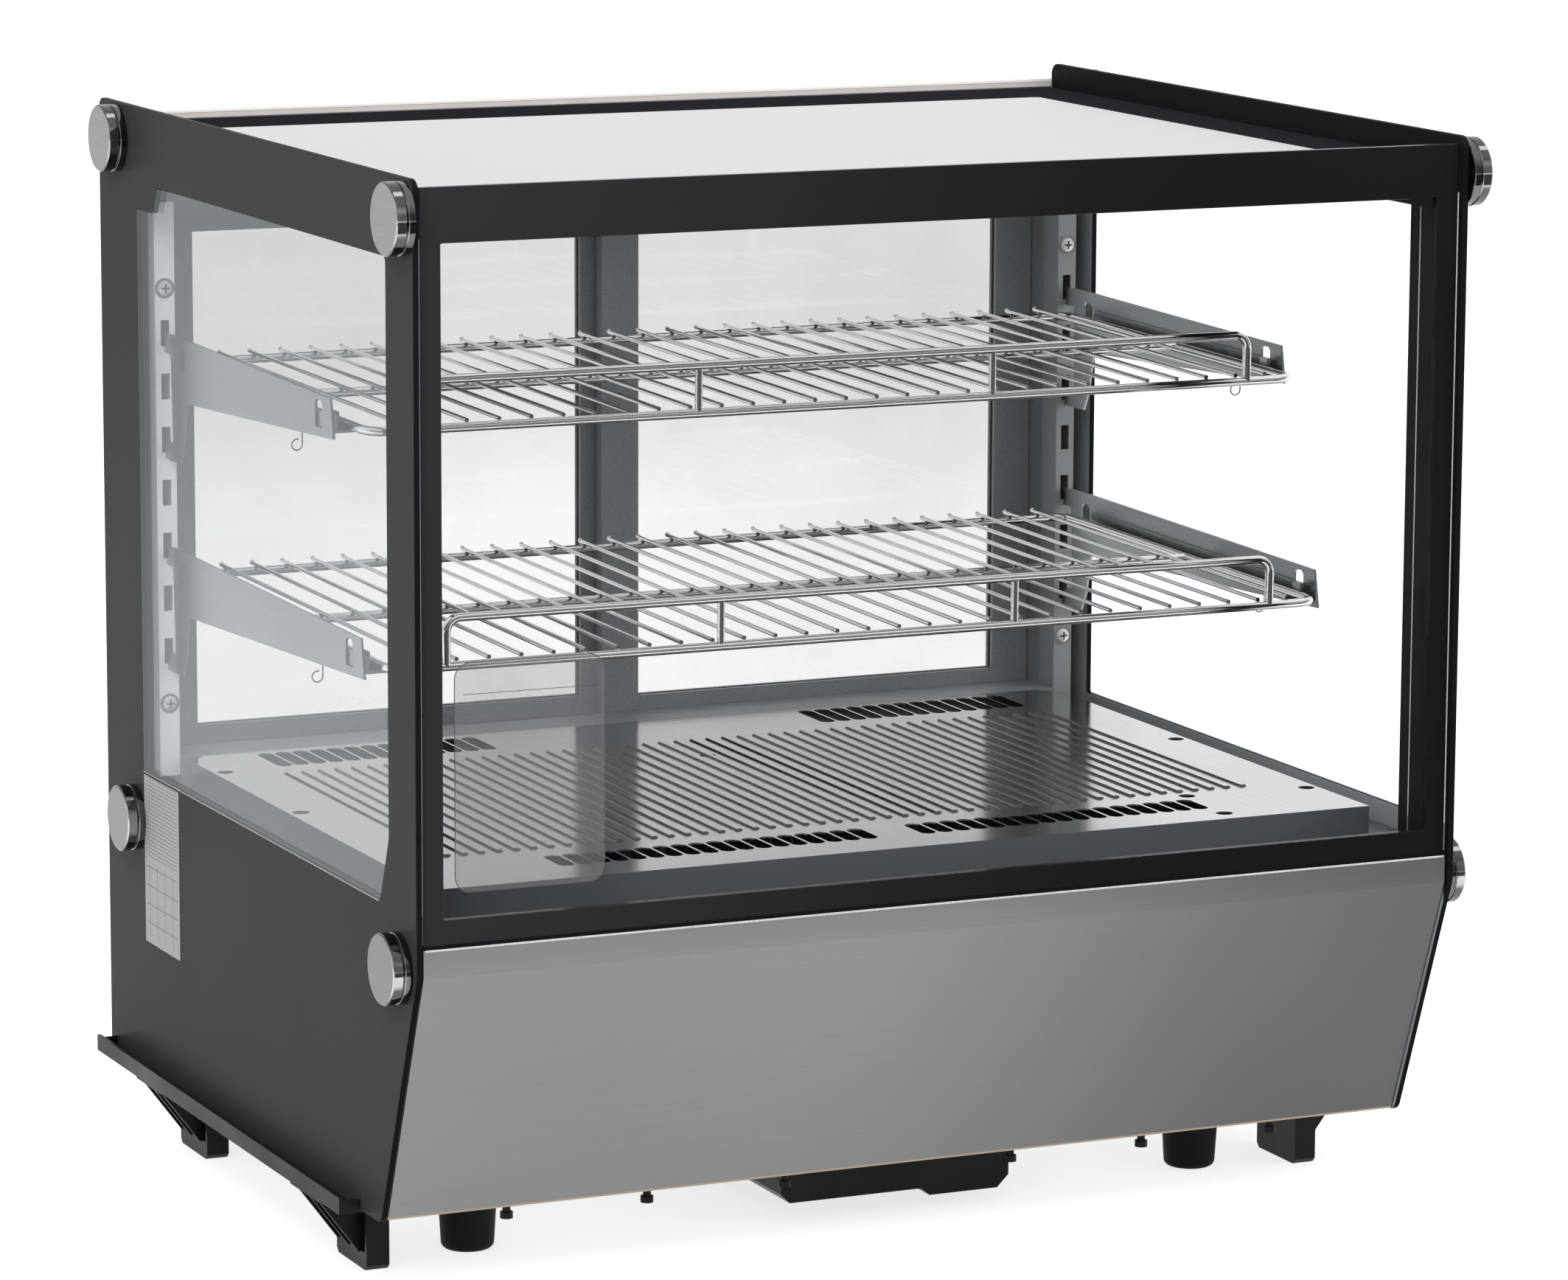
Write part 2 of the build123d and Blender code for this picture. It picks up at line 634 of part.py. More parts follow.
def upright_fan(shape):
    """Place a fan piece upright on the floor, blowing along Y."""
    z = floor_top + FAN_PLATE / 2
    return Pos(CONDENSER_FAN_X, CONDENSER_FAN_Y, z) * Rot(-90, 0, 0) * shape


def finned_coil(x, y, z, rows, columns, fin_count):
    """Block of fins on straight tubes that run along X."""
    width = x[1] - x[0]
    coil = []
    for row in range(rows):
        for column in range(columns):
            tube_y = y[0] + (column + 0.5) * (y[1] - y[0]) / columns
            tube_z = z[0] + (row + 0.5) * (z[1] - z[0]) / rows
            coil.append(rod((x[0], tube_y, tube_z), (x[1], tube_y, tube_z), COIL_R))
    step = (width - 2 * COIL_R - FIN_SHEET) / (fin_count - 1)
    fins = [span((x[0] + COIL_R + index * step, x[0] + COIL_R + index * step + FIN_SHEET), y, z)
            for index in range(fin_count)]
    for column in range(columns):
        low = coil[column].bounding_box().center()
        high = coil[(rows - 1) * columns + column].bounding_box().center()
        fins.append(span((x[1] - 2 * COIL_R, x[1]), (low.Y - COIL_R, low.Y + COIL_R), (low.Z, high.Z)))
    tie = span((x[0] + 1, x[0] + 1 + COIL_R), (y[0], y[1]), (z[0], z[1]))
    return coil[0] + coil[1:] + fins + tie


def evaporator():
    x, y = EVAPORATOR_SPAN
    low = TUB_FLOOR + TUB_FLOOR_WALL
    return finned_coil(x, y, (low, TUB_RIM + 6), 2, 4, 24)


def condenser():
    x, y = CONDENSER_SPAN
    return finned_coil(x, y, (floor_top, floor_top + CONDENSER_HEIGHT), 5, 2, 18)


def drain_tube():
    """Drain from the tub floor down to just above the tray."""
    x, y = DRAIN_PLACE
    low = TRAY_RIM + 3
    high = TUB_FLOOR + TUB_FLOOR_WALL
    tube = rod((x, y, low), (x, y, high), DRAIN_R)
    flange = rod((x, y, high), (x, y, high + 2), DRAIN_R + 5)
    return tube + flange - rod((x, y, low - 1), (x, y, high + 3), DRAIN_BORE)


# Hot side

def compressor():
    """Hermetic compressor: domed can in two halves with a weld band and a foot plate."""
    x, y = COMPRESSOR_PLACE
    low = floor_top + GROMMET_HEIGHT
    middle = Pos(x, y, low + COMPRESSOR_HEIGHT / 2)
    can = middle * Cylinder(COMPRESSOR_R, COMPRESSOR_HEIGHT)
    can = fillet(can.edges().filter_by(GeomType.CIRCLE).sort_by(Axis.Z)[-1], 28)
    band = middle * (Cylinder(COMPRESSOR_R + 3, 6) - Cylinder(COMPRESSOR_R - 4, 6))
    plate = Pos(x, y, low + SKIN) * Box(150, 110, 2 * SKIN)
    return can + band + plate


def grommets():
    """Rubber mounts under the compressor's foot plate."""
    x, y = COMPRESSOR_PLACE
    mount = Pos(x, y, floor_top + GROMMET_HEIGHT / 2)
    return [mount * place * Cylinder(9, GROMMET_HEIGHT) for place in GridLocations(130, 90, 2, 2)]


def pipes():
    """Discharge pipe to the condenser and suction pipe from the evaporator."""
    cx, cy = COMPRESSOR_PLACE
    x, y = CONDENSER_SPAN
    high = floor_top + CONDENSER_HEIGHT / 5 * 4.5
    can_x = cx + COMPRESSOR_R
    tube_y = y[0] + (y[1] - y[0]) / 4
    discharge = FilletPolyline((can_x, cy, high), (can_x + 80, cy, high), (can_x + 80, tube_y, high),
                               (x[0], tube_y, high), radius=20)
    ex, ey = EVAPORATOR_SPAN
    tube_low = TUB_FLOOR - 20
    suction = FilletPolyline((can_x, cy - 20, 150), (can_x + 70, cy - 20, 150), (can_x + 70, 0, 150),
                             (can_x + 70, 0, tube_low + 20), radius=20)
    lines = []
    for route in (discharge, suction):
        section = Plane(route @ 0, z_dir=route % 0) * Circle(PIPE_R)
        lines.append(sweep(section, path=route))
    return lines


def filter_drier():
    """Copper filter drier clipped to the floor beside the condenser."""
    x = CONDENSER_SPAN[0][0] - 24
    y = CONDENSER_SPAN[1][0]
    body = rod((x, y - 80, floor_top + 11), (x, y - 10, floor_top + 11), 9)
    neck = rod((x, y - 92, floor_top + 11), (x, y + 2, floor_top + 11), 3)
    return body + neck + span((x - 3, x + 3), (y - 55, y - 45), (floor_top, floor_top + 6))


# Rear frame and doors

def track_cuts(x, z):
    """Grooves for the inner and the outer door, between the fins."""
    grooves = []
    for door_y in (INNER_DOOR_Y, OUTER_DOOR_Y):
        grooves.append(span(x, (door_y - DOOR_GAP, door_y + DOOR_THICKNESS + DOOR_GAP), z))
    return grooves


def rear_sill():
    """Sill with two door grooves, narrowed at the front to clear the shelf standards."""
    notch_x = STANDARD_X - STANDARD_WIDTH / 2 - GAP
    sill = span((-inner_width, inner_width), (POST_FRONT, rear_y), (HOUSING_TOP, FIN_TOP))
    sill += span((-notch_x, notch_x), (SILL_FRONT, POST_FRONT), (HOUSING_TOP, FIN_TOP))
    hollow = (HOUSING_TOP + TOP_RAIL_WALL, DOOR_TRACK_FLOOR - TOP_RAIL_WALL)
    sill -= span((-POST_INNER_X, POST_INNER_X), (SILL_FRONT + FIN, rear_y - FIN), hollow)
    return sill - track_cuts((-POST_INNER_X, POST_INNER_X), (DOOR_TRACK_FLOOR, FIN_TOP))


def rear_header():
    """Hollow header with the upper door grooves and a raised lip behind the top glass."""
    header = span((-inner_width, inner_width), (HEADER_FRONT, rear_y), (HEADER_UNDERSIDE, top_glass_z))
    header += span((-POST_INNER_X, POST_INNER_X), (INNER_DOOR_Y - DOOR_GAP - FIN, rear_y),
                   (FIN_BOTTOM, HEADER_UNDERSIDE))
    header += span((-inner_width, inner_width), (rear_y - FIN, rear_y), (top_glass_z, TOP_GLASS_TOP + 4))
    header -= span((-inner_width, inner_width), (HEADER_FRONT + FIN, rear_y - FIN),
                   (HEADER_UNDERSIDE + FIN, top_glass_z - FIN))
    stud_y, stud_z = KNOB_PLACES[1]
    land_x = (inner_width - TOP_RAIL_WIDTH, inner_width)
    for side in sides:
        header += side_span(side, land_x, (stud_y - 10, stud_y + 10), (stud_z - 10, top_glass_z))
        header -= knob_holes(side, KNOB_STUD_R + RUNNING_CLEARANCE, (land_x[0] - 1, half_width))
    return header - track_cuts((-POST_INNER_X, POST_INNER_X), (FIN_BOTTOM, HEADER_UNDERSIDE))


def rear_post(side):
    """Hollow corner post between the sill and the header."""
    post = side_span(side, (POST_INNER_X, inner_width), (POST_FRONT, rear_y), (FIN_TOP, HEADER_UNDERSIDE))
    core = side_span(side, (POST_INNER_X + FIN, inner_width - FIN), (POST_FRONT + FIN, rear_y - FIN),
                     (FIN_TOP, HEADER_UNDERSIDE))
    for z in SCREW_LEVELS:
        post -= rod((side * STANDARD_X, POST_FRONT - 1, z), (side * STANDARD_X, POST_FRONT + 6, z), 2)
    return post - core


def door_pane(side, y, lap):
    """Glass of one door, held in the frame's rebate."""
    x0 = DOOR_STILE - lap - GLASS_REBATE
    x1 = POST_INNER_X - DOOR_GAP - DOOR_STILE + GLASS_REBATE
    middle = y + DOOR_THICKNESS / 2
    return side_span(side, (x0, x1), (middle - DOOR_GLASS / 2, middle + DOOR_GLASS / 2),
                     (DOOR_BOTTOM + BOTTOM_RAIL - GLASS_REBATE, DOOR_TOP - TOP_RAIL + GLASS_REBATE))


def door_frame(side, y, lap):
    """Sliding door frame that reaches past the middle, with a shallow finger groove down the outer stile."""
    outer = POST_INNER_X - DOOR_GAP
    frame = side_span(side, (-lap, outer), (y, y + DOOR_THICKNESS), (DOOR_BOTTOM, DOOR_TOP))
    frame -= side_span(side, (DOOR_STILE - lap, outer - DOOR_STILE), (y, y + DOOR_THICKNESS),
                       (DOOR_BOTTOM + BOTTOM_RAIL, DOOR_TOP - TOP_RAIL))
    groove = (outer - DOOR_STILE + 7, outer - 7)
    frame -= side_span(side, groove, (y + DOOR_THICKNESS - 3, y + DOOR_THICKNESS), (390, 480))
    return frame - door_pane(side, y, lap)


def door_glides(side, y):
    """Plastic blocks under the door that run in the sill groove."""
    blocks = []
    for x in (20, POST_INNER_X - 60):
        blocks.append(side_span(side, (x, x + 30), (y + 1, y + DOOR_THICKNESS - 1),
                                (DOOR_TRACK_FLOOR + GAP, DOOR_BOTTOM)))
    return blocks


# Standards, brackets and shelves

def standard(side):
    """Slotted upright, a folded channel with its slotted face to the front."""
    x0 = STANDARD_X - STANDARD_WIDTH / 2
    x1 = STANDARD_X + STANDARD_WIDTH / 2
    z = (STANDARD_BOTTOM, STANDARD_TOP)
    back = STANDARD_FACE + STANDARD_DEPTH
    upright = side_span(side, (x0, x1), (STANDARD_FACE, back), z)
    upright -= side_span(side, (x0 + SKIN, x1 - SKIN), (STANDARD_FACE + SKIN, back), z)
    slot_x = (STANDARD_X - SLOT_WIDTH / 2, STANDARD_X + SLOT_WIDTH / 2)
    for index in range(SLOT_COUNT):
        top = SLOT_TOP - index * SLOT_PITCH
        upright -= side_span(side, slot_x, (STANDARD_FACE, STANDARD_FACE + SKIN), (top - SLOT_HEIGHT, top))
    x = side * STANDARD_X
    for z in SCREW_LEVELS:
        upright -= rod((x, STANDARD_FACE, z), (x, STANDARD_FACE + SKIN, z), 2.05)
    return upright


def standard_screws():
    """Cross-head screws that hold the standards to the rear posts."""
    screws = []
    for side in sides:
        for z in SCREW_LEVELS:
            x = side * STANDARD_X
            head = rod((x, STANDARD_FACE - 2.6, z), (x, STANDARD_FACE, z), 5)
            head = chamfer(head.edges().filter_by(GeomType.CIRCLE).sort_by(Axis.Y)[0], 1.4)
            screws.append(head + rod((x, STANDARD_FACE, z), (x, POST_FRONT + 5, z), 1.95))
    return screws


def bracket(side, slot_index, front):
    """Tapered bracket with two hooks, a shelf ledge and a tab that keeps the shelf centred."""
    slot_low = SLOT_TOP - slot_index * SLOT_PITCH - SLOT_HEIGHT
    top = slot_low + SLOT_HEIGHT - BRACKET_DROP
    rear = STANDARD_FACE - 12
    plate_x = (STANDARD_X - BRACKET_SHEET / 2, STANDARD_X + BRACKET_SHEET / 2)
    start = front - 3
    outline = [(rear, top), (front + 2, top - 4.5), (start, top - 29), (rear - 31, top - 42),
               (rear - 24, top - 70), (rear - 17, top - 83), (rear - 4, top - 83)]
    plate = along_x(outline, (side * plate_x[0], side * plate_x[1]))
    second = slot_low - 2 * SLOT_PITCH
    behind = STANDARD_FACE + SKIN + GAP
    for low in (slot_low, second):
        neck_low = low + GAP
        hook = [(rear - 10, neck_low - 4), (STANDARD_FACE - GAP, neck_low - 4),
                (STANDARD_FACE - GAP, neck_low), (behind, neck_low), (behind, neck_low - 4),
                (behind + 2.5, neck_low - 4), (behind + 2.5, neck_low + HOOK_NECK),
                (rear - 10, neck_low + HOOK_NECK)]
        plate += along_x(hook, (side * plate_x[0], side * plate_x[1]))
    for y, width, drop, height in ((front + 22, 12, 7.5, 17), (rear - 22, 12, 8, 14)):
        slot = span((side * plate_x[0], side * plate_x[1]), (y - width / 2, y + width / 2),
                    (top - drop - height, top - drop))
        plate -= chamfer(slot.edges().filter_by(Axis.X).group_by(Axis.Z)[-1], 2.4)
    inner = side * plate_x[0]
    end = rear - 34
    for x, y, high in (((0, LEDGE_WIDTH), (start, end), 0), ((0, BRACKET_SHEET), (start, end), 9),
                       ((TAB_INSET, TAB_INSET + BRACKET_SHEET), (front + 8, front + 18), TAB_HEIGHT)):
        low = [ledge_height(slot_index, limit) for limit in y]
        strip = [(y[0], low[0] - BRACKET_SHEET), (y[1], low[1] - BRACKET_SHEET),
                 (y[1], low[1] + high), (y[0], low[0] + high)]
        plate += along_x(strip, (inner - side * x[0], inner - side * x[1]))
    return plate


def wire(points, diameter):
    """Wire of a many-sided section along straight runs with square mitres."""
    path = Polyline(*points)
    start = Plane(path @ 0, z_dir=path % 0)
    section = start * Rot(0, 0, 180 / WIRE_SIDES) * RegularPolygon(diameter / 2, WIRE_SIDES)
    return sweep(section, path=path, transition=Transition.RIGHT)


def ledge_height(slot_index, y):
    """Height of the bracket's sloping ledge at one depth."""
    top = SLOT_TOP - slot_index * SLOT_PITCH - BRACKET_DROP
    return top - LEDGE_DROP + (y - UPPER_SHELF_FRONT) * math.tan(math.radians(SHELF_TILT))


def shelf_level(slot_index, front):
    """Height of the front frame wire's centre, just above the bracket ledge."""
    return ledge_height(slot_index, front) + GAP + FRAME_WIRE / 2 * wire_flat


def tilted(slot_index, front, shape):
    """Tip a shelf piece about its front frame wire, to lie along the ledges."""
    hinge = Pos(0, front, shelf_level(slot_index, front))
    return hinge * Rot(SHELF_TILT, 0, 0) * hinge.inverse() * shape


def wire_shelf(slot_index, front):
    """Welded shelf: a frame wire all round, one more cross wire and the thin wires on top."""
    level = shelf_level(slot_index, front)
    half = SHELF_HALF_WIDTH
    rear = SHELF_REAR - 8
    cut = 10
    loop = [(0, front), (half - cut, front), (half, front + cut), (half, rear - cut), (half - cut, rear),
            (0, rear)]
    shelf = wire([(x, y, level) for x, y in loop], FRAME_WIRE)
    shelf += wire([(-x, y, level) for x, y in loop], FRAME_WIRE)
    middle = (front + rear) / 2
    shelf += wire([(-half, middle, level), (half, middle, level)], FRAME_WIRE)
    top = level + (FRAME_WIRE + CROSS_WIRE) / 2 * wire_flat - GAP
    run = [(front + 1, top), (SHELF_REAR, top), (SHELF_REAR + 1, top + 2.2)]
    for index in range(-WIRES_EACH_SIDE, WIRES_EACH_SIDE + 1):
        shelf += wire([(index * WIRE_PITCH, y, z) for y, z in run], CROSS_WIRE)
    return tilted(slot_index, front, shelf)


def shelf_rail(slot_index, front):
    """Raised front rail: one bent wire and two short posts, standing on the frame wire."""
    foot = shelf_level(slot_index, front) + FRAME_WIRE / 2 * wire_flat
    high = shelf_level(slot_index, front) + RAIL_RISE
    x = RAIL_HALF_WIDTH
    cut = RAIL_BEND * 0.6
    points = [(0, high), (x - RAIL_BEND, high), (x - RAIL_BEND + cut, high - RAIL_BEND + cut),
              (x, high - RAIL_BEND), (x, foot)]
    rail = wire([(px, front, pz) for px, pz in points], FRAME_WIRE)
    rail += wire([(-px, front, pz) for px, pz in points], FRAME_WIRE)
    for side in sides:
        rail += wire([(side * RAIL_POST_X, front, foot), (side * RAIL_POST_X, front, high)], POST_WIRE)
    return tilted(slot_index, front, rail)


# Rear panel and controls

def rear_panel():
    """Louvred sheet behind the machine compartment, with openings for controller, switches and gland."""
    y = (REAR_PANEL_Y, REAR_PANEL_Y + SKIN)
    panel = span((-inner_width + GAP, inner_width - GAP), y, (FOOT_HEIGHT, HOUSING_TOP))
    edge = y[1] + LOUVRE_HOOD
    hood = along_x([(y[1] - 0.4, 0), (edge, -LOUVRE_HEIGHT + 1), (edge - 1, -LOUVRE_HEIGHT),
                    (y[1] - 0.4, -SKIN)], (-LOUVRE_WIDTH / 2, LOUVRE_WIDTH / 2))
    for x in LOUVRE_COLUMNS:
        for row in range(LOUVRE_ROWS):
            z = LOUVRE_FIRST + row * LOUVRE_PITCH
            panel -= span((x - LOUVRE_WIDTH / 2, x + LOUVRE_WIDTH / 2), y, (z - LOUVRE_HEIGHT, z - SKIN))
            panel += Pos(x, 0, z) * hood
    panel -= Pos(CONTROL_X, y[0], CONTROL_Z) * Box(CONTROL_BODY[0], 4 * SKIN, CONTROL_BODY[1])
    for x in SWITCH_X:
        panel -= Pos(x, y[0], CONTROL_Z) * Box(SWITCH_WIDTH - 3, 4 * SKIN, SWITCH_HEIGHT - 3)
    gx, gz = GLAND_PLACE
    return panel - rod((gx, y[0] - 1, gz), (gx, y[1] + 1, gz), 8)


def rear_panel_screws():
    """Pan-head screws round the rear panel."""
    face = REAR_PANEL_Y + SKIN
    screws = []
    for side in sides:
        for z in (FOOT_HEIGHT + 16, (FOOT_HEIGHT + HOUSING_TOP) / 2, HOUSING_TOP - 12):
            x = side * (inner_width - 10)
            screws.append(rod((x, face, z), (x, face + 2, z), 4))
    return screws


def key_x(index):
    """Place of a key, to the side of the lens."""
    return CONTROL_X - CONTROL_WIDTH / 2 + 8 + index * KEY_PITCH


def controller_case():
    """Thermostat body behind a wider bezel, with seats for the lens and three keys."""
    face = REAR_PANEL_Y + SKIN
    case = Pos(CONTROL_X, face + BEZEL / 2, CONTROL_Z) * Box(CONTROL_WIDTH, BEZEL, CONTROL_HEIGHT)
    body = Box(CONTROL_BODY[0], CONTROL_DEPTH, CONTROL_BODY[1])
    case += Pos(CONTROL_X, face - CONTROL_DEPTH / 2, CONTROL_Z) * body
    case -= lens_block()
    for index in range(3):
        key_hole = Box(KEY_WIDTH + 2 * GAP, 8, KEY_HEIGHT + 2 * GAP)
        case -= Pos(key_x(index), face + BEZEL - 4, CONTROL_Z) * key_hole
    return case


def lens_block():
    """Tinted display window, flush in the bezel."""
    face = REAR_PANEL_Y + SKIN + BEZEL
    return Pos(CONTROL_X + 13, face - 1, CONTROL_Z) * Box(LENS_WIDTH, 2, LENS_HEIGHT)


def control_key(index):
    """One key, standing proud of the bezel by a little more than its travel."""
    front = REAR_PANEL_Y + SKIN + BEZEL + KEY_PROUD
    length = 6
    return Pos(key_x(index), front - length / 2, CONTROL_Z) * Box(KEY_WIDTH, length, KEY_HEIGHT)


def switch_frame(x):
    """Snap-in switch body with a rim round the rocker."""
    face = REAR_PANEL_Y + SKIN
    frame = Pos(x, face + 1, CONTROL_Z) * Box(SWITCH_WIDTH, 2, SWITCH_HEIGHT)
    frame += Pos(x, face - 10, CONTROL_Z) * Box(SWITCH_WIDTH - 3, 20, SWITCH_HEIGHT - 3)
    well = Pos(x, face - 3, CONTROL_Z) * Box(ROCKER_WIDTH + 2 * GAP, 12, 2 * ROCKER_HALF + 2)
    reach = ROCKER_WIDTH / 2 + GAP
    pin = rod((x - reach, face - 1, CONTROL_Z), (x + reach, face - 1, CONTROL_Z), 1)
    return frame - well + pin


def rocker(x):
    """Rocker with a dished face, resting tilted in its off position on a cross pin."""
    pivot = REAR_PANEL_Y + SKIN - 1
    thick = ROCKER_THICK
    profile = [(-thick, -ROCKER_HALF + 2), (thick + 1, -ROCKER_HALF), (thick - 0.6, 0),
               (thick + 1, ROCKER_HALF), (-thick, ROCKER_HALF - 2)]
    body = along_x(profile, (-ROCKER_WIDTH / 2, ROCKER_WIDTH / 2))
    body -= rod((-ROCKER_WIDTH, 0, 0), (ROCKER_WIDTH, 0, 0), 1 + RUNNING_CLEARANCE)
    return Pos(x, pivot, CONTROL_Z) * Rot(-ROCKER_TILT, 0, 0) * body


def cable_gland():
    """Rubber gland where the mains lead would enter."""
    x, z = GLAND_PLACE
    face = REAR_PANEL_Y + SKIN
    ring = rod((x, face, z), (x, face + 3, z), 12) + rod((x, face - 6, z), (x, face, z), 8)
    return ring - rod((x, face - 7, z), (x, face + 4, z), 4)


save("side_glass_left", side_glass(-1))
save("side_glass_right", side_glass(1))
save("front_glass", front_glass())
save("front_glass_gasket", front_glass_gasket())
save("top_glass", top_glass())
save("glass_frame_bars", [bar(side) for bar in (top_rail, corner_post) for side in sides])
save("lamp_channel", lamp_channel())
save("lamp_lens", lamp_lens())
save("knob_bases", knob_bases())
save("knob_caps", knob_caps())
save("knob_studs", knob_studs())
save("steel_front", steel_front())
save("base_pan", base_pan())
save("insulated_tub", insulated_tub())
save("deck_panel", deck_panel())
save("condensate_channels", [condensate_channel(side) for side in sides])
save("corner_legs", [corner_leg(side, y) for side in sides for y in (LEG_FRONT_Y, LEG_REAR_Y)])
save("rubber_feet", [rubber_foot(side * RUBBER_FOOT_X, y) for side in sides for y in RUBBER_FOOT_Y])
save("base_screws", [base_screw(side * x) for side in sides for x in PEG_X])
save("drip_tray", drip_tray())
save("tray_runners", [tray_runner(TRAY_LEFT, -1), tray_runner(TRAY_RIGHT, 1)])
save("evaporator_fan_housing", flat_fan(fan_housing()))
save("evaporator_fan_rotor", flat_fan(fan_rotor()))
save("evaporator", evaporator())
save("drain_tube", drain_tube())
save("compressor", compressor())
save("compressor_grommets", grommets())
save("condenser", condenser())
save("condenser_fan_housing", upright_fan(fan_housing()))
save("condenser_fan_rotor", upright_fan(fan_rotor()))
save("refrigerant_pipes", pipes())
save("filter_drier", filter_drier())
save("rear_sill", rear_sill())
save("rear_header", rear_header())
save("rear_posts", [rear_post(side) for side in sides])
save("left_door_frame", door_frame(-1, OUTER_DOOR_Y, LEFT_DOOR_LAP))
save("left_door_glass", door_pane(-1, OUTER_DOOR_Y, LEFT_DOOR_LAP))
save("left_door_glides", door_glides(-1, OUTER_DOOR_Y))
save("right_door_frame", door_frame(1, INNER_DOOR_Y, RIGHT_DOOR_LAP))
save("right_door_glass", door_pane(1, INNER_DOOR_Y, RIGHT_DOOR_LAP))
save("right_door_glides", door_glides(1, INNER_DOOR_Y))
save("shelf_standards", [standard(side) for side in sides])
save("standard_screws", standard_screws())
save("upper_brackets", [bracket(side, UPPER_SLOT, UPPER_BRACKET_FRONT) for side in sides])
save("lower_brackets", [bracket(side, LOWER_SLOT, LOWER_BRACKET_FRONT) for side in sides])
save("upper_shelf", wire_shelf(UPPER_SLOT, UPPER_SHELF_FRONT))
save("upper_shelf_rail", shelf_rail(UPPER_SLOT, UPPER_SHELF_FRONT))
save("lower_shelf", wire_shelf(LOWER_SLOT, LOWER_SHELF_FRONT))
save("lower_shelf_rail", shelf_rail(LOWER_SLOT, LOWER_SHELF_FRONT))
save("rear_panel", rear_panel())
save("rear_panel_screws", rear_panel_screws())
save("controller_case", controller_case())
save("controller_lens", lens_block())
save("set_key", control_key(0))
save("up_key", control_key(1))
save("down_key", control_key(2))
save("switch_frames", [switch_frame(x) for x in SWITCH_X])
save("power_rocker", rocker(SWITCH_X[0]))
save("light_rocker", rocker(SWITCH_X[1]))
save("cable_gland", cable_gland())
print("front lip", STEEL_TOP, "deck", DECK_TOP, "upper shelf", shelf_level(UPPER_SLOT, UPPER_SHELF_FRONT))
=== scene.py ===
# %% [markdown]
# # A countertop refrigerated display case
# The case is a glass box on a slanted steel housing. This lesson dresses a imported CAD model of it:
# the CAD nodes give every place and size, and Blender adds printed glass, polished wire and brushed steel.
# We load the frame first and keep its box, because what we add has to stay inside it.

# %% Load the frame
import json
import math

import bmesh
import bpy
from mathutils import Matrix, Vector


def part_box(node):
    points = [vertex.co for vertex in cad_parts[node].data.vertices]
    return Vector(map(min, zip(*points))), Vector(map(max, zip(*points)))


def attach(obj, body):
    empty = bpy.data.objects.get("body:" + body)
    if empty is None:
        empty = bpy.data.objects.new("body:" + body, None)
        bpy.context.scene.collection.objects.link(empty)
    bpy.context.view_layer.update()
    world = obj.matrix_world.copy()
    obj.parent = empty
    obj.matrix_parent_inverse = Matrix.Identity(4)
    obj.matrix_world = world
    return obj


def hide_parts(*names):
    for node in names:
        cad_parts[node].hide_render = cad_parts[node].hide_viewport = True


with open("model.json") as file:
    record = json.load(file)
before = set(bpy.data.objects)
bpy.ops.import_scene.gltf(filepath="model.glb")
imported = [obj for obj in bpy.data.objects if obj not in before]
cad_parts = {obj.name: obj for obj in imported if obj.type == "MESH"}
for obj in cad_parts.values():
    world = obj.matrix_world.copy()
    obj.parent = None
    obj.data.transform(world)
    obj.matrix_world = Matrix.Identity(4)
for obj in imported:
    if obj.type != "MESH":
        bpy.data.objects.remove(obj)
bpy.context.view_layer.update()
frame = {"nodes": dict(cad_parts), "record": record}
nodes = frame["nodes"]

# %% [markdown]
# ## The camera
# The photograph was solved for its camera: from the left, a little above, and with a long lens.
# A long lens keeps upright edges nearly parallel, as in a catalogue picture.

# %% Camera at the photograph's angle
CAMERA_PLACE = (-1.68169, -3.72831, 1.07031)
CAMERA_TURN = (79.9704, -0.2522, -24.4189)
CAMERA_LENS = 147.55
FAR_LIMIT = 60


def stand(name, data):
    """Add an object to the scene."""
    thing = bpy.data.objects.new(name, data)
    bpy.context.scene.collection.objects.link(thing)
    return thing


camera = stand("camera", bpy.data.cameras.new("camera"))
camera.data.lens = CAMERA_LENS
camera.data.clip_end = FAR_LIMIT
camera.location = CAMERA_PLACE
camera.rotation_euler = [math.radians(angle) for angle in CAMERA_TURN]
bpy.context.scene.camera = camera
bpy.context.scene.view_settings.view_transform = "Standard"
print("camera", round(camera.location.length, 2), "m from the middle of the floor")

# %% [markdown]
# ## Short calls for node trees
# Shader trees and Geometry Nodes trees are built alike: add a node, set its inputs or link them.
# One helper does both, so each material and each tree below reads as a list of its nodes.

# %% Node helpers
def place(tree, kind, values=None, **settings):
    """Add a node to a tree, and set or link its inputs by name or number."""
    node = tree.nodes.new(kind)
    for key, value in settings.items():
        setattr(node, key, value)
    for key, value in (values or {}).items():
        if isinstance(value, bpy.types.NodeSocket):
            tree.links.new(value, node.inputs[key])
        else:
            node.inputs[key].default_value = value
    return node


def math_node(tree, operation, a, b=0.0):
    """One sum, as a socket."""
    return place(tree, "ShaderNodeMath", {0: a, 1: b}, operation=operation).outputs[0]


def new_group(kind, name, inputs, outputs):
    """Make a node group with named sockets, and give it with its input and output nodes."""
    tree = bpy.data.node_groups.new(name, kind)
    for label, (value_kind, value) in inputs.items():
        socket = tree.interface.new_socket(label, in_out="INPUT", socket_type="NodeSocket" + value_kind)
        socket.default_value = value
    for label, value_kind in outputs.items():
        tree.interface.new_socket(label, in_out="OUTPUT", socket_type="NodeSocket" + value_kind)
    return tree, tree.nodes.new("NodeGroupInput"), tree.nodes.new("NodeGroupOutput")


def grey(value):
    """A neutral colour."""
    return (value, value, value, 1)


print("helpers ready")

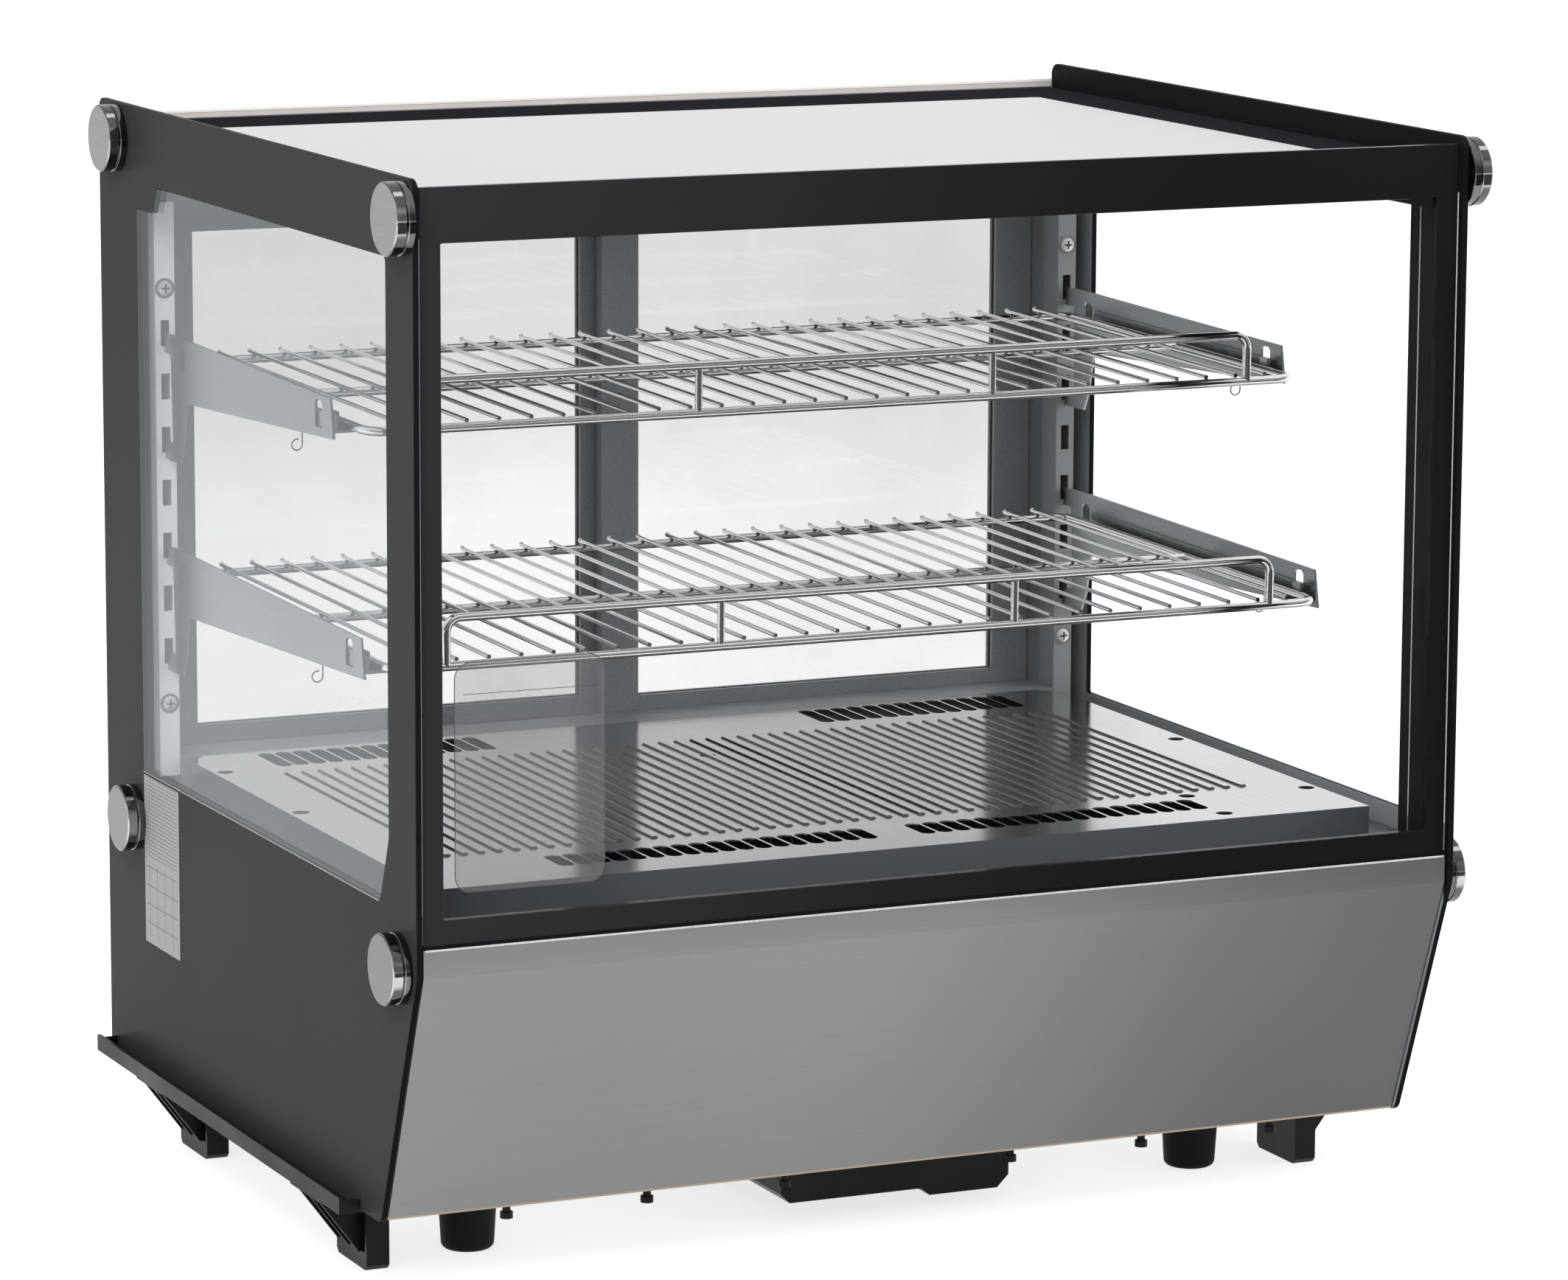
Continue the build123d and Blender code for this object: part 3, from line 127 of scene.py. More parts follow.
# %% [markdown]
# ## Masks
# A mask is a number from nought to one that changes over a surface. Most of ours follow a place on the object
# or the way its surface faces. Each one rises over a span, which is written as its first and its last value,
# so a span that is written backwards gives a mask that falls.

# %% Mask helpers
def object_place(tree):
    """Where a point lies on its object."""
    return place(tree, "ShaderNodeTexCoord").outputs["Object"]


def part_of(tree, coordinate, letter):
    """One part of an object coordinate or of an object's normal."""
    spot = place(tree, "ShaderNodeTexCoord")
    return place(tree, "ShaderNodeSeparateXYZ", {0: spot.outputs[coordinate]}).outputs[letter]


def ramp(tree, value, span, ends=(0.0, 1.0), **settings):
    """Straight change from one end to the other while the value crosses the span."""
    return place(tree, "ShaderNodeMapRange",
                 {"Value": value, "From Min": span[0], "From Max": span[1],
                  "To Min": ends[0], "To Max": ends[1]}, **settings).outputs[0]


def rising(tree, value, span, ends=(0.0, 1.0)):
    """The same change with soft ends."""
    return ramp(tree, value, span, ends, interpolation_type="SMOOTHSTEP")


def product(tree, a, b):
    """Two masks multiplied."""
    return math_node(tree, "MULTIPLY", a, b)


def between(tree, value, rise, fall):
    """Mask that rises over one span and falls over another."""
    return product(tree, rising(tree, value, rise), rising(tree, value, fall))


def unsigned(tree, value):
    """A value without its sign."""
    return math_node(tree, "ABSOLUTE", value)


def layered(tree, mask, under, over, blend="MIX"):
    """One colour over another where the mask is one."""
    return place(tree, "ShaderNodeMix", {"Factor": mask, 6: under, 7: over},
                 data_type="RGBA", blend_type=blend).outputs[2]


print("masks ready")

# %% [markdown]
# ## Effects that several finishes share
# Brushed metal has fine streaks along one direction. Large sheets also have faint clouds in tone and gloss,
# and moulded plastic has a pebbled skin. Each effect is one group, so every finish can place it with its own
# scale. The groups put out only colours, values and normals, and the shader stays in the material.

# %% Shared effect: brushed streaks
BUMP_DEPTH = 0.0002


def embossed(tree, given, result, height):
    """End a group: its height is the tone, and a bump in the normal."""
    bump = place(tree, "ShaderNodeBump",
                 {"Height": height, "Strength": given.outputs["Bump"], "Distance": BUMP_DEPTH})
    tree.links.new(height, result.inputs["Tone"])
    tree.links.new(bump.outputs["Normal"], result.inputs["Normal"])


streaks, given, result = new_group(
    "ShaderNodeTree", "brushed_streaks",
    {"Stretch": ("Vector", (1, 1, 1)), "Fineness": ("Float", 900), "Bump": ("Float", 0.1)},
    {"Tone": "Float", "Normal": "Vector"})
pulled = place(streaks, "ShaderNodeVectorMath", {0: object_place(streaks), 1: given.outputs["Stretch"]},
               operation="MULTIPLY")
lines = place(streaks, "ShaderNodeTexNoise", {"Vector": pulled.outputs[0], "Scale": given.outputs["Fineness"],
                                              "Detail": 3, "Roughness": 0.6})
embossed(streaks, given, result, lines.outputs["Fac"])
print("group", streaks.name)

# %% Shared effect: faint clouds
clouds, given, result = new_group(
    "ShaderNodeTree", "faint_clouds",
    {"Light": ("Color", grey(0.8)), "Dark": ("Color", grey(0.6)), "Size": ("Float", 6),
     "Smooth": ("Float", 0.2), "Rough": ("Float", 0.4), "Tone": ("Float", 0.5)},
    {"Color": "Color", "Roughness": "Float"})
drift = place(clouds, "ShaderNodeTexNoise",
              {"Vector": object_place(clouds), "Scale": given.outputs["Size"], "Detail": 2}).outputs["Fac"]
both = math_node(clouds, "ADD", drift, given.outputs["Tone"])
blend = layered(clouds, rising(clouds, both, (0.6, 1.4)), given.outputs["Light"], given.outputs["Dark"])
gloss = rising(clouds, drift, (0.2, 0.8), (given.outputs["Smooth"], given.outputs["Rough"]))
clouds.links.new(blend, result.inputs["Color"])
clouds.links.new(gloss, result.inputs["Roughness"])
print("group", clouds.name)

# %% Shared effect: moulded skin
skin, given, result = new_group(
    "ShaderNodeTree", "moulded_skin",
    {"Fineness": ("Float", 1500), "Bump": ("Float", 0.2)}, {"Tone": "Float", "Normal": "Vector"})
pebbles = place(skin, "ShaderNodeTexVoronoi",
                {"Vector": object_place(skin), "Scale": given.outputs["Fineness"]})
embossed(skin, given, result, pebbles.outputs["Distance"])
print("group", skin.name)

# %% [markdown]
# ## Finishes
# A finish starts from one shader with plain metal, gloss and coat values. A metal then takes streaks, a
# plastic takes the moulded skin, and both take the faint clouds, so no surface is one flat colour.

# %% Makers of finishes
ALONG_X = (0.01, 1, 1)
ALONG_Y = (1, 0.01, 1)
EVEN = (1, 1, 1)
METAL_CLOUDS, PLASTIC_CLOUDS, PRINT_CLOUDS = 3.0, 14.0, 5.0


def finish(name, metallic=0.0, **plain):
    """A material with its shader's plain values set, and its tree and shader."""
    material = bpy.data.materials.new(name)
    material.use_nodes = True
    tree = material.node_tree
    shader = tree.nodes["Principled BSDF"]
    shader.inputs["Metallic"].default_value = metallic
    for label, value in plain.items():
        shader.inputs[label.replace("_", " ")].default_value = value
    return material, tree, shader


def clouded(tree, shader, light, dark, smooth, rough, size, tone=0.5):
    """Give the shader clouded colour and gloss."""
    values = {"Light": light, "Dark": dark, "Size": size, "Smooth": smooth, "Rough": rough, "Tone": tone}
    cloud = place(tree, "ShaderNodeGroup", values, node_tree=clouds)
    tree.links.new(cloud.outputs["Color"], shader.inputs["Base Color"])
    tree.links.new(cloud.outputs["Roughness"], shader.inputs["Roughness"])


def brushed(name, light, dark, smooth, rough, stretch, fineness, bump):
    """Metal with streaks across the stretched axes."""
    material, tree, shader = finish(name, metallic=1.0)
    grain = place(tree, "ShaderNodeGroup", {"Stretch": stretch, "Fineness": fineness, "Bump": bump},
                  node_tree=streaks)
    clouded(tree, shader, light, dark, smooth, rough, METAL_CLOUDS, grain.outputs["Tone"])
    tree.links.new(grain.outputs["Normal"], shader.inputs["Normal"])
    return material


def moulded(name, light, dark, smooth, rough, fineness=1500, bump=0.15, **plain):
    """Plastic or rubber with a pebbled skin."""
    material, tree, shader = finish(name, **plain)
    grain = place(tree, "ShaderNodeGroup", {"Fineness": fineness, "Bump": bump}, node_tree=skin)
    clouded(tree, shader, light, dark, smooth, rough, PLASTIC_CLOUDS, grain.outputs["Tone"])
    tree.links.new(grain.outputs["Normal"], shader.inputs["Normal"])
    return material


def recolour(material, mask, colour, blend="MIX"):
    """Lay another colour over the shader's colour where the mask is one."""
    tree = material.node_tree
    base = tree.nodes["Principled BSDF"].inputs["Base Color"]
    old = base.links[0].from_socket if base.links else tuple(base.default_value)
    tree.links.new(layered(tree, mask, old, colour, blend), base)


def fade(material, coordinate, letter, span, colour):
    """Recolour a finish while one part of a coordinate crosses a span."""
    tree = material.node_tree
    recolour(material, rising(tree, part_of(tree, coordinate, letter), span), colour)


print("makers ready")

# %% [markdown]
# ## Glass and its printed border
# The panes are clear float glass with a black border fired onto them. Clear panes are thin, so light is not
# bent much: a mirror finish that is see-through, except where it is seen at a flat angle, gives a clean pane
# and lets lamps light the inside. The printed border is opaque and nearly black.

# %% Clear glass
HAZE_SPREAD = 1.15


def clear_glass(name, tint, haze, power, rough=0.02, metallic=1.0):
    """A pane that mirrors more the flatter it is seen, and is otherwise see-through."""
    material, tree, shader = finish(name, metallic=metallic, Roughness=rough, Base_Color=tint)
    smear = place(tree, "ShaderNodeTexNoise", {"Vector": object_place(tree), "Scale": 9, "Detail": 4})
    veil = ramp(tree, smear.outputs["Fac"], (0.4, 0.7), (haze, haze * HAZE_SPREAD))
    flatness = place(tree, "ShaderNodeLayerWeight", {"Blend": 0.5})
    mirrored = math_node(tree, "POWER", flatness.outputs["Facing"], power)
    total = place(tree, "ShaderNodeMath", {0: veil, 1: mirrored}, operation="ADD", use_clamp=True)
    tree.links.new(total.outputs[0], shader.inputs["Alpha"])
    return material


pane_finish = clear_glass("clear_pane", (0.90, 0.93, 0.94, 1), 0.013, 5.0)
side_pane_finish = clear_glass("side_pane", (0.36, 0.39, 0.41, 1), 0.056, 5.0)
door_pane_finish = clear_glass("door_pane", (0.25, 0.27, 0.29, 1), 0.23, 5.0)
top_pane_finish = clear_glass("top_pane", (0.77, 0.77, 0.76, 1), 0.089, 1.0, 0.5)
print("finish", pane_finish.name)

# %% [markdown]
# The side border is one dark print with painted light on it: a lighter grey outside than the front's, and
# pale slate inside, behind the front glass.
# The front border has painted light that makes it paler towards the left.

# %% Printed glass
FACING_OUT, FACING_IN = (0.2, 0.3), (-0.2, -0.3)
BELOW_HEADER = (0.66, 0.65)
LEFTWARDS = (0.20, -0.42)
FRONT_EDGE = 0.002


def printed_glass(name, light, dark, level, smooth=0.10):
    """Opaque border print under a polished face."""
    material, tree, shader = finish(name, Specular_IOR_Level=level)
    clouded(tree, shader, light, dark, smooth, smooth + 0.05, PRINT_CLOUDS)
    return material


side_print = printed_glass("side_print", grey(0.010), grey(0.007), 0.012, 0.34)
tree = side_print.node_tree
outward = product(tree, part_of(tree, "Normal", "X"), part_of(tree, "Object", "X"))
# Painted light: the outer face of the side print is lighter than its inner face.
recolour(side_print, rising(tree, outward, FACING_OUT), (0.0385, 0.038, 0.0425, 1))
# Painted light: the inner face below the header, behind the front glass, is pale slate.
inner_low = product(tree, rising(tree, outward, FACING_IN),
                    rising(tree, part_of(tree, "Object", "Z"), BELOW_HEADER))
front_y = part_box("front_glass")[0].y
behind_front = rising(tree, part_of(tree, "Object", "Y"), (front_y, front_y + FRONT_EDGE))
recolour(side_print, product(tree, inner_low, behind_front), (0.30, 0.32, 0.335, 1))
front_print = printed_glass("front_print", (0.010, 0.010, 0.0105, 1), (0.008, 0.008, 0.0085, 1), 0.06)
# Painted light: the front print is paler towards the left.
fade(front_print, "Object", "X", LEFTWARDS, (0.025, 0.0258, 0.0283, 1))
top_print = printed_glass("top_print", (0.012, 0.012, 0.014, 1), (0.009, 0.009, 0.011, 1), 0.0, 0.3)
print("finishes", side_print.name, front_print.name)

# %% [markdown]
# ## Metals, plastics and rubber
# The colours follow the photograph: a mid grey brushed front, brighter knobs, near-white polished wire,
# blue-grey frame sections and black mouldings.

# %% Steel front
# Painted shade darkens the front to the right, painted light makes its upright band brighter than its slant,
# and its hem has a warm edge.
RIGHTWARDS = (-0.10, 0.36)
UPRIGHT = (0.12, 0.04)
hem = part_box("steel_front")[0].z
hem_edge = (hem + 0.0018, hem + 0.0008)

steel_front_finish = brushed("brushed_front", grey(0.226), grey(0.211), 0.30, 0.36, ALONG_X, 700, 0.05)
# Painted shade: the front darkens to the right.
fade(steel_front_finish, "Object", "X", RIGHTWARDS, grey(0.106))
tree = steel_front_finish.node_tree
# Painted light: the upright band is brighter than the slant.
upright = rising(tree, unsigned(tree, part_of(tree, "Normal", "Z")), UPRIGHT)
recolour(steel_front_finish, upright, grey(1.8), "MULTIPLY")
fade(steel_front_finish, "Object", "Z", hem_edge, (0.36, 0.29, 0.22, 1))
print("finish", steel_front_finish.name)

# %% Knobs and wire
# Knob sides have painted reflection: dark above and below, apart from one bright strip near the top. Painted
# shade makes wire darker underneath.
LOW_KNOBS = (0.45, 0.35)
TURNED_AWAY = (0.25, 0.45)
STRIP_RISE, STRIP_FALL = (0.66, 0.70), (0.80, 0.76)
FACING_DOWN = (0.0, -0.7)

knob_face_finish = brushed("knob_face", grey(0.27), grey(0.22), 0.28, 0.36, ALONG_Y, 1400, 0.08)
# Painted shade: the faces of the lower knobs are darker.
fade(knob_face_finish, "Object", "Z", LOW_KNOBS, grey(0.145))
knob_side_finish = brushed("knob_side", grey(0.50), grey(0.40), 0.06, 0.10, ALONG_X, 900, 0.0)
# Painted reflection on the knob sides.
tree = knob_side_finish.node_tree
tilt = part_of(tree, "Normal", "Z")
recolour(knob_side_finish, rising(tree, unsigned(tree, tilt), TURNED_AWAY), grey(0.10))
recolour(knob_side_finish, between(tree, tilt, STRIP_RISE, STRIP_FALL), grey(0.60))
knob_base_finish = brushed("knob_base", grey(0.16), grey(0.12), 0.06, 0.10, ALONG_X, 900, 0.0)
wire_finish = brushed("polished_wire", (0.84, 0.86, 0.88, 1), (0.76, 0.78, 0.80, 1), 0.08, 0.14,
                      EVEN, 60, 0.0)
# Painted shade on the wire's underside.
fade(wire_finish, "Normal", "Z", FACING_DOWN, grey(0.22))
hook_finish = brushed("hook_wire", grey(0.30), grey(0.22), 0.20, 0.30, EVEN, 200, 0.0)
print("finishes", knob_face_finish.name, wire_finish.name)

# %% Deck
# The deck's flat face is polished. The walls of its ribs and slots carry painted shade, and so does its
# folded edge, which is dull at the sides and in front.
STEEP = (0.2, 0.4)
OUTER_EDGE = (0.315, 0.318)
FACING_FRONT = (-0.5, -0.7)

deck_finish = brushed("deck_steel", grey(0.74), grey(0.64), 0.12, 0.18, ALONG_Y, 700, 0.02)
tree = deck_finish.node_tree
# Painted shade on the walls of the ribs and slots, and on the folded edge at the sides and in front.
flanks = rising(tree, unsigned(tree, part_of(tree, "Normal", "X")), STEEP)
recolour(deck_finish, flanks, grey(0.06))
sides = product(tree, flanks, rising(tree, unsigned(tree, part_of(tree, "Object", "X")), OUTER_EDGE))
recolour(deck_finish, sides, (0.080, 0.087, 0.094, 1))
front = rising(tree, part_of(tree, "Normal", "Y"), FACING_FRONT)
recolour(deck_finish, front, (0.085, 0.092, 0.100, 1))
polished = math_node(tree, "SUBTRACT", 1.0, math_node(tree, "MAXIMUM", sides, front))
tree.links.new(polished, tree.nodes["Principled BSDF"].inputs["Metallic"])
print("finish", deck_finish.name)

# %% Other metals
bracket_finish = brushed("bracket_steel", (0.36, 0.383, 0.395, 1), (0.315, 0.335, 0.345, 1), 0.32, 0.45,
                         ALONG_Y, 600, 0.05)
screw_finish = brushed("screw_steel", grey(0.86), grey(0.78), 0.35, 0.45, EVEN, 300, 0.05)
screw_finish.node_tree.nodes["Principled BSDF"].inputs["Metallic"].default_value = 0.5
sheet_finish = brushed("zinc_sheet", (0.50, 0.51, 0.52, 1), (0.40, 0.41, 0.42, 1), 0.38, 0.52, EVEN, 40, 0.05)
aluminium_finish = brushed("mill_aluminium", grey(0.66), grey(0.56), 0.30, 0.42, ALONG_X, 800, 0.08)
copper_finish = brushed("bare_copper", (0.70, 0.36, 0.22, 1), (0.56, 0.27, 0.16, 1), 0.32, 0.44,
                        EVEN, 80, 0.05)
print("metal finishes made")

# %% Plastic, rubber and coated finishes
# Painted shade makes the right-hand standard darker than the left one, and makes the liner darker than its
# left edge.
RIGHT_STANDARD = (-0.05, 0.05)
LINER_MIDDLE = (-0.325, -0.315)

standard_finish = moulded("standard_coat", (0.90, 0.92, 0.94, 1), (0.82, 0.84, 0.86, 1), 0.35, 0.45,
                          900, 0.03)
# Painted shade on the right-hand standard.
fade(standard_finish, "Object", "X", RIGHT_STANDARD, (0.25, 0.265, 0.272, 1))
frame_finish = moulded("frame_coat", (0.205, 0.221, 0.233, 1), (0.162, 0.177, 0.187, 1), 0.38, 0.48,
                       900, 0.03)
slate_finish = moulded("slate_liner", (0.130, 0.143, 0.155, 1), (0.105, 0.116, 0.126, 1), 0.40, 0.50,
                       600, 0.03)
# Painted shade: the liner darkens away from its left edge.
fade(slate_finish, "Object", "X", LINER_MIDDLE, (0.072, 0.079, 0.086, 1))
matte_finish = moulded("matte_black", grey(0.012), grey(0.008), 0.50, 0.60, 900, 0.05,
                       Specular_IOR_Level=0.08)
black_finish = moulded("black_moulding", grey(0.009), grey(0.006), 0.35, 0.50, 1500, 0.2,
                       Specular_IOR_Level=0.15)
gloss_finish = moulded("gloss_black", grey(0.012), grey(0.008), 0.08, 0.14, 500, 0.0)
rubber_finish = moulded("black_rubber", grey(0.008), grey(0.005), 0.55, 0.70, 1800, 0.3,
                        Specular_IOR_Level=0.15)
liner_finish = moulded("white_liner", grey(0.78), grey(0.70), 0.40, 0.50, 600, 0.03)
enamel_finish = moulded("black_enamel", grey(0.016), grey(0.010), 0.12, 0.20, 300, 0.02, Coat_Weight=0.4)
print("coated finishes made")

# %% Seal highlight
# A pale seal finish paints highlights on the seams. It is darker at the foot of the windows.
SEAL_RISE, SEAL_FALL = (0.2340, 0.2350), (0.2520, 0.2505)

seal_highlight_finish = moulded("painted_seal_highlight", grey(0.62), grey(0.54), 0.10, 0.16, 500, 0.0)
tree = seal_highlight_finish.node_tree
recolour(seal_highlight_finish, between(tree, part_of(tree, "Object", "Z"), SEAL_RISE, SEAL_FALL), grey(0.22))
print("finish", seal_highlight_finish.name)

# %% Give every CAD node its finish
FINISH_OF = {
    "clear_glass": pane_finish, "brushed_steel": bracket_finish, "mirror_chrome": wire_finish,
    "grey_standard": standard_finish, "grey_frame": frame_finish, "galvanised_sheet": sheet_finish,
    "black_plastic": black_finish, "gloss_black": gloss_finish, "black_rubber": rubber_finish,
    "white_liner": liner_finish, "aluminium": aluminium_finish, "black_enamel": enamel_finish,
    "copper": copper_finish,
}
OWN_FINISH = {
    "steel_front": steel_front_finish, "deck_panel": deck_finish, "rear_panel_screws": screw_finish,
    "base_screws": black_finish, "glass_frame_bars": matte_finish, "insulated_tub": slate_finish,
    "left_door_glass": door_pane_finish, "right_door_glass": door_pane_finish,
}
for part in frame["record"]["subparts"]:
    name = part["node"]
    data = nodes[name].data
    data.materials.clear()
    data.materials.append(OWN_FINISH.get(name, FINISH_OF[part["material_slot"]]))
print("finishes given to", len(nodes), "nodes")

# %% [markdown]
# ## Panes with printed borders
# Each pane is two pieces with the same faces: an opaque border with a hole, and the clear window in the hole.
# A filled 2D curve can have a hole and a fine bevel at once, which a plain extruded face cannot, so both are
# drawn as curves, made into meshes and then turned upright.

# %% Mesh helpers
MERGE_DISTANCE = 1e-6
PIECE_ANGLE, PLATE_ANGLE, TREE_ANGLE = math.radians(35), math.radians(12), math.radians(50)


def mesh_of(drawn):
    """The mesh that an object's curve or modifiers make. The object itself is removed."""
    mesh = bpy.data.meshes.new_from_object(drawn.evaluated_get(bpy.context.evaluated_depsgraph_get()))
    bpy.data.objects.remove(drawn)
    return mesh


def keep(name, mesh, material=None, smooth_angle=PIECE_ANGLE):
    """Turn a mesh into a piece: merged, normals outwards, smooth where it is round."""
    shape = bmesh.new()
    shape.from_mesh(mesh)
    bmesh.ops.remove_doubles(shape, verts=shape.verts, dist=MERGE_DISTANCE)
    bmesh.ops.recalc_face_normals(shape, faces=shape.faces)
    for face in shape.faces:
        face.smooth = True
    for edge in shape.edges:
        edge.smooth = len(edge.link_faces) == 2 and edge.calc_face_angle(0) < smooth_angle
    shape.to_mesh(mesh)
    shape.free()
    if material is not None:
        mesh.materials.clear()
        mesh.materials.append(material)
    return stand(name, mesh)


print("mesh helpers ready")

# %% Outline and plate helpers
def rounded(corners, steps=10):
    """Closed outline through corners given as (u, v, radius), with an arc where there is a radius."""
    outline = []
    for index, (u, v, radius) in enumerate(corners):
        here = Vector((u, v))
        before = Vector(corners[index - 1][:2]) - here
        after = Vector(corners[(index + 1) % len(corners)][:2]) - here
        if radius == 0:
            outline.append(here)
            continue
        half = before.angle(after) / 2
        middle = here + (before.normalized() + after.normalized()).normalized() * (radius / math.sin(half))
        start = (here + before.normalized() * (radius / math.tan(half)) - middle).normalized()
        end = (here + after.normalized() * (radius / math.tan(half)) - middle).normalized()
        for step in range(steps + 1):
            outline.append(middle + start.slerp(end, step / steps) * radius)
    return outline


def box_outline(left, right, low, high, radius=0.0):
    """Rectangle outline with equal corners."""
    return rounded([(left, low, radius), (right, low, radius), (right, high, radius), (left, high, radius)])


def path_through(curve, places, closed=False):
    """Add straight runs through places to a curve."""
    spline = curve.splines.new("POLY")
    spline.points.add(len(places) - 1)
    for item, place_at in zip(spline.points, places):
        item.co = (*place_at, 1)
    spline.use_cyclic_u = closed


def plate(name, loops, thickness, bevel, material, turn, resolution=2):
    """Flat piece from outlines, the first one outside and the others holes, turned into place."""
    curve = bpy.data.curves.new(name, "CURVE")
    curve.dimensions = "2D"
    curve.fill_mode = "BOTH"
    curve.extrude = thickness / 2 - bevel
    curve.bevel_depth = bevel
    curve.bevel_resolution = resolution
    curve.offset = -bevel
    for loop in loops:
        path_through(curve, [(u, v, 0) for u, v in loop], closed=True)
    mesh = mesh_of(stand(name + "_curve", curve))
    mesh.name = name
    mesh.transform(turn)
    return keep(name, mesh, material, PLATE_ANGLE)


def at_side(x):
    """Place for a plate that faces along X: its outline's u goes to Y and its v to Z."""
    return Matrix.Translation((x, 0, 0)) @ Matrix(((0, 0, 1, 0), (1, 0, 0, 0), (0, 1, 0, 0), (0, 0, 0, 1)))


def at_front(y):
    """Place for a plate that faces along Y: its outline's u goes to X and its v to Z."""
    return Matrix.Translation((0, y, 0)) @ Matrix(((1, 0, 0, 0), (0, 0, 1, 0), (0, 1, 0, 0), (0, 0, 0, 1)))


print("plate helpers ready")

# %% Side panes
BEND_HEIGHT = 0.214
TOE_Y = -0.222
TOP_CORNER = 0.008
BEND_RADIUS = 0.018
WINDOW_FRONT = -0.239
WINDOW_REAR = {"left": 0.2096, "right": 0.219}
WINDOW_LOW, WINDOW_TOP = 0.250, 0.637
WINDOW_TOE_LENGTH, WINDOW_TOE_TOP = 0.015, 0.291
NOTCH_FRONT, NOTCH_REAR, NOTCH_LOW = 0.168, 0.178, 0.620
FRONT_CORNER, WINDOW_CORNER = 0.004, 0.002
EDGE_BEVEL = 0.0007
WINDOW_BEVEL = 0.0002

for side in ("left", "right"):
    low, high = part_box("side_glass_" + side)
    rear = WINDOW_REAR[side]
    outline = rounded([(low.y, BEND_HEIGHT, BEND_RADIUS), (TOE_Y, low.z, TOP_CORNER), (high.y, low.z, 0),
                       (high.y, high.z, TOP_CORNER), (low.y, high.z, TOP_CORNER)])
    window = rounded([(WINDOW_FRONT, WINDOW_TOP, FRONT_CORNER), (WINDOW_FRONT, WINDOW_TOE_TOP, WINDOW_CORNER),
                      (WINDOW_FRONT + WINDOW_TOE_LENGTH, WINDOW_LOW, WINDOW_CORNER),
                      (rear, WINDOW_LOW, WINDOW_CORNER), (rear, NOTCH_LOW, WINDOW_CORNER),
                      (NOTCH_REAR, NOTCH_LOW, WINDOW_CORNER), (NOTCH_FRONT, WINDOW_TOP, WINDOW_CORNER)])
    thickness = high.x - low.x
    turn = at_side((low.x + high.x) / 2)
    border = plate(f"side_border_{side}", [outline, window], thickness, EDGE_BEVEL, side_print, turn)
    glass = side_pane_finish if side == "left" else pane_finish
    pane = plate(f"side_window_{side}", [window], thickness, WINDOW_BEVEL, glass, turn, 0)
    for piece in (border, pane):
        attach(piece, "case")
    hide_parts("side_glass_" + side)
    print(border.name, len(border.data.polygons), "faces")

# %% Front pane and top pane
FRONT_HOLE = (-0.332, 0.332, 0.2477, 0.648, 0.001)
TOP_HOLE = (-0.308, 0.303, -0.201, 0.2155, 0.004)

low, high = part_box("front_glass")
turn = at_front((low.y + high.y) / 2)
edge = box_outline(low.x, high.x, low.z, high.z)
hole = box_outline(*FRONT_HOLE)
front_border = plate("front_border", [edge, hole], high.y - low.y, EDGE_BEVEL, front_print, turn)
front_window = plate("front_window", [hole], high.y - low.y, WINDOW_BEVEL, pane_finish, turn, 0)
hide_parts("front_glass")

low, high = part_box("top_glass")
turn = Matrix.Translation((0, 0, (low.z + high.z) / 2))
edge = box_outline(low.x, high.x, low.y, high.y)
hole = box_outline(*TOP_HOLE)
top_border = plate("top_border", [edge, hole], high.z - low.z, EDGE_BEVEL, top_print, turn)
top_window = plate("top_window", [hole], high.z - low.z, WINDOW_BEVEL, top_pane_finish, turn, 0)
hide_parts("top_glass")

for piece in (front_border, front_window, top_border, top_window):
    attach(piece, "case")
print("front and top panes made")

# %% [markdown]
# ## Glass knobs
# Eight turned knobs clamp the side panes. Each one is a stack of turned discs: a polished base, a narrow dark
# groove, and a polished cap with a bevel and a brushed face. Geometry Nodes makes the stack once and sets it
# at the eight places, half of them turned to face the other side.

# %% Geometry Nodes helpers
def grow(name, tree, **values):
    """Run a tree once and keep what it makes as a plain mesh object."""
    seed = stand(name, bpy.data.meshes.new(name + "_start"))
    modifier = seed.modifiers.new("grow", "NODES")
    modifier.node_group = tree
    for item in tree.interface.items_tree:
        if item.item_type == "SOCKET" and item.in_out == "INPUT" and item.name in values:
            modifier[item.identifier] = values[item.name]
    return keep(name, mesh_of(seed), smooth_angle=TREE_ANGLE)


def joined(tree, shapes):
    """Join several geometry sockets."""
    join = tree.nodes.new("GeometryNodeJoinGeometry")
    for shape in shapes:
        tree.links.new(shape, join.inputs[0])
    return join.outputs[0]


def moved(tree, shape, **values):
    """A shape with a Translation, Rotation or Scale."""
    return place(tree, "GeometryNodeTransform", {0: shape, **values}).outputs[0]


def coated(tree, shape, material):
    """A shape with a finish."""
    return place(tree, "GeometryNodeSetMaterial", {0: shape, "Material": material}).outputs[0]


def point(tree, x=0.0, y=0.0, z=0.0):
    """One place, from sockets or numbers."""
    return place(tree, "ShaderNodeCombineXYZ", {0: x, 1: y, 2: z}).outputs[0]


def finished(tree, result, shape):
    """End a tree in Realize Instances."""
    plain = place(tree, "GeometryNodeRealizeInstances", {0: shape})
    tree.links.new(plain.outputs[0], result.inputs[0])


print("tree helpers ready")

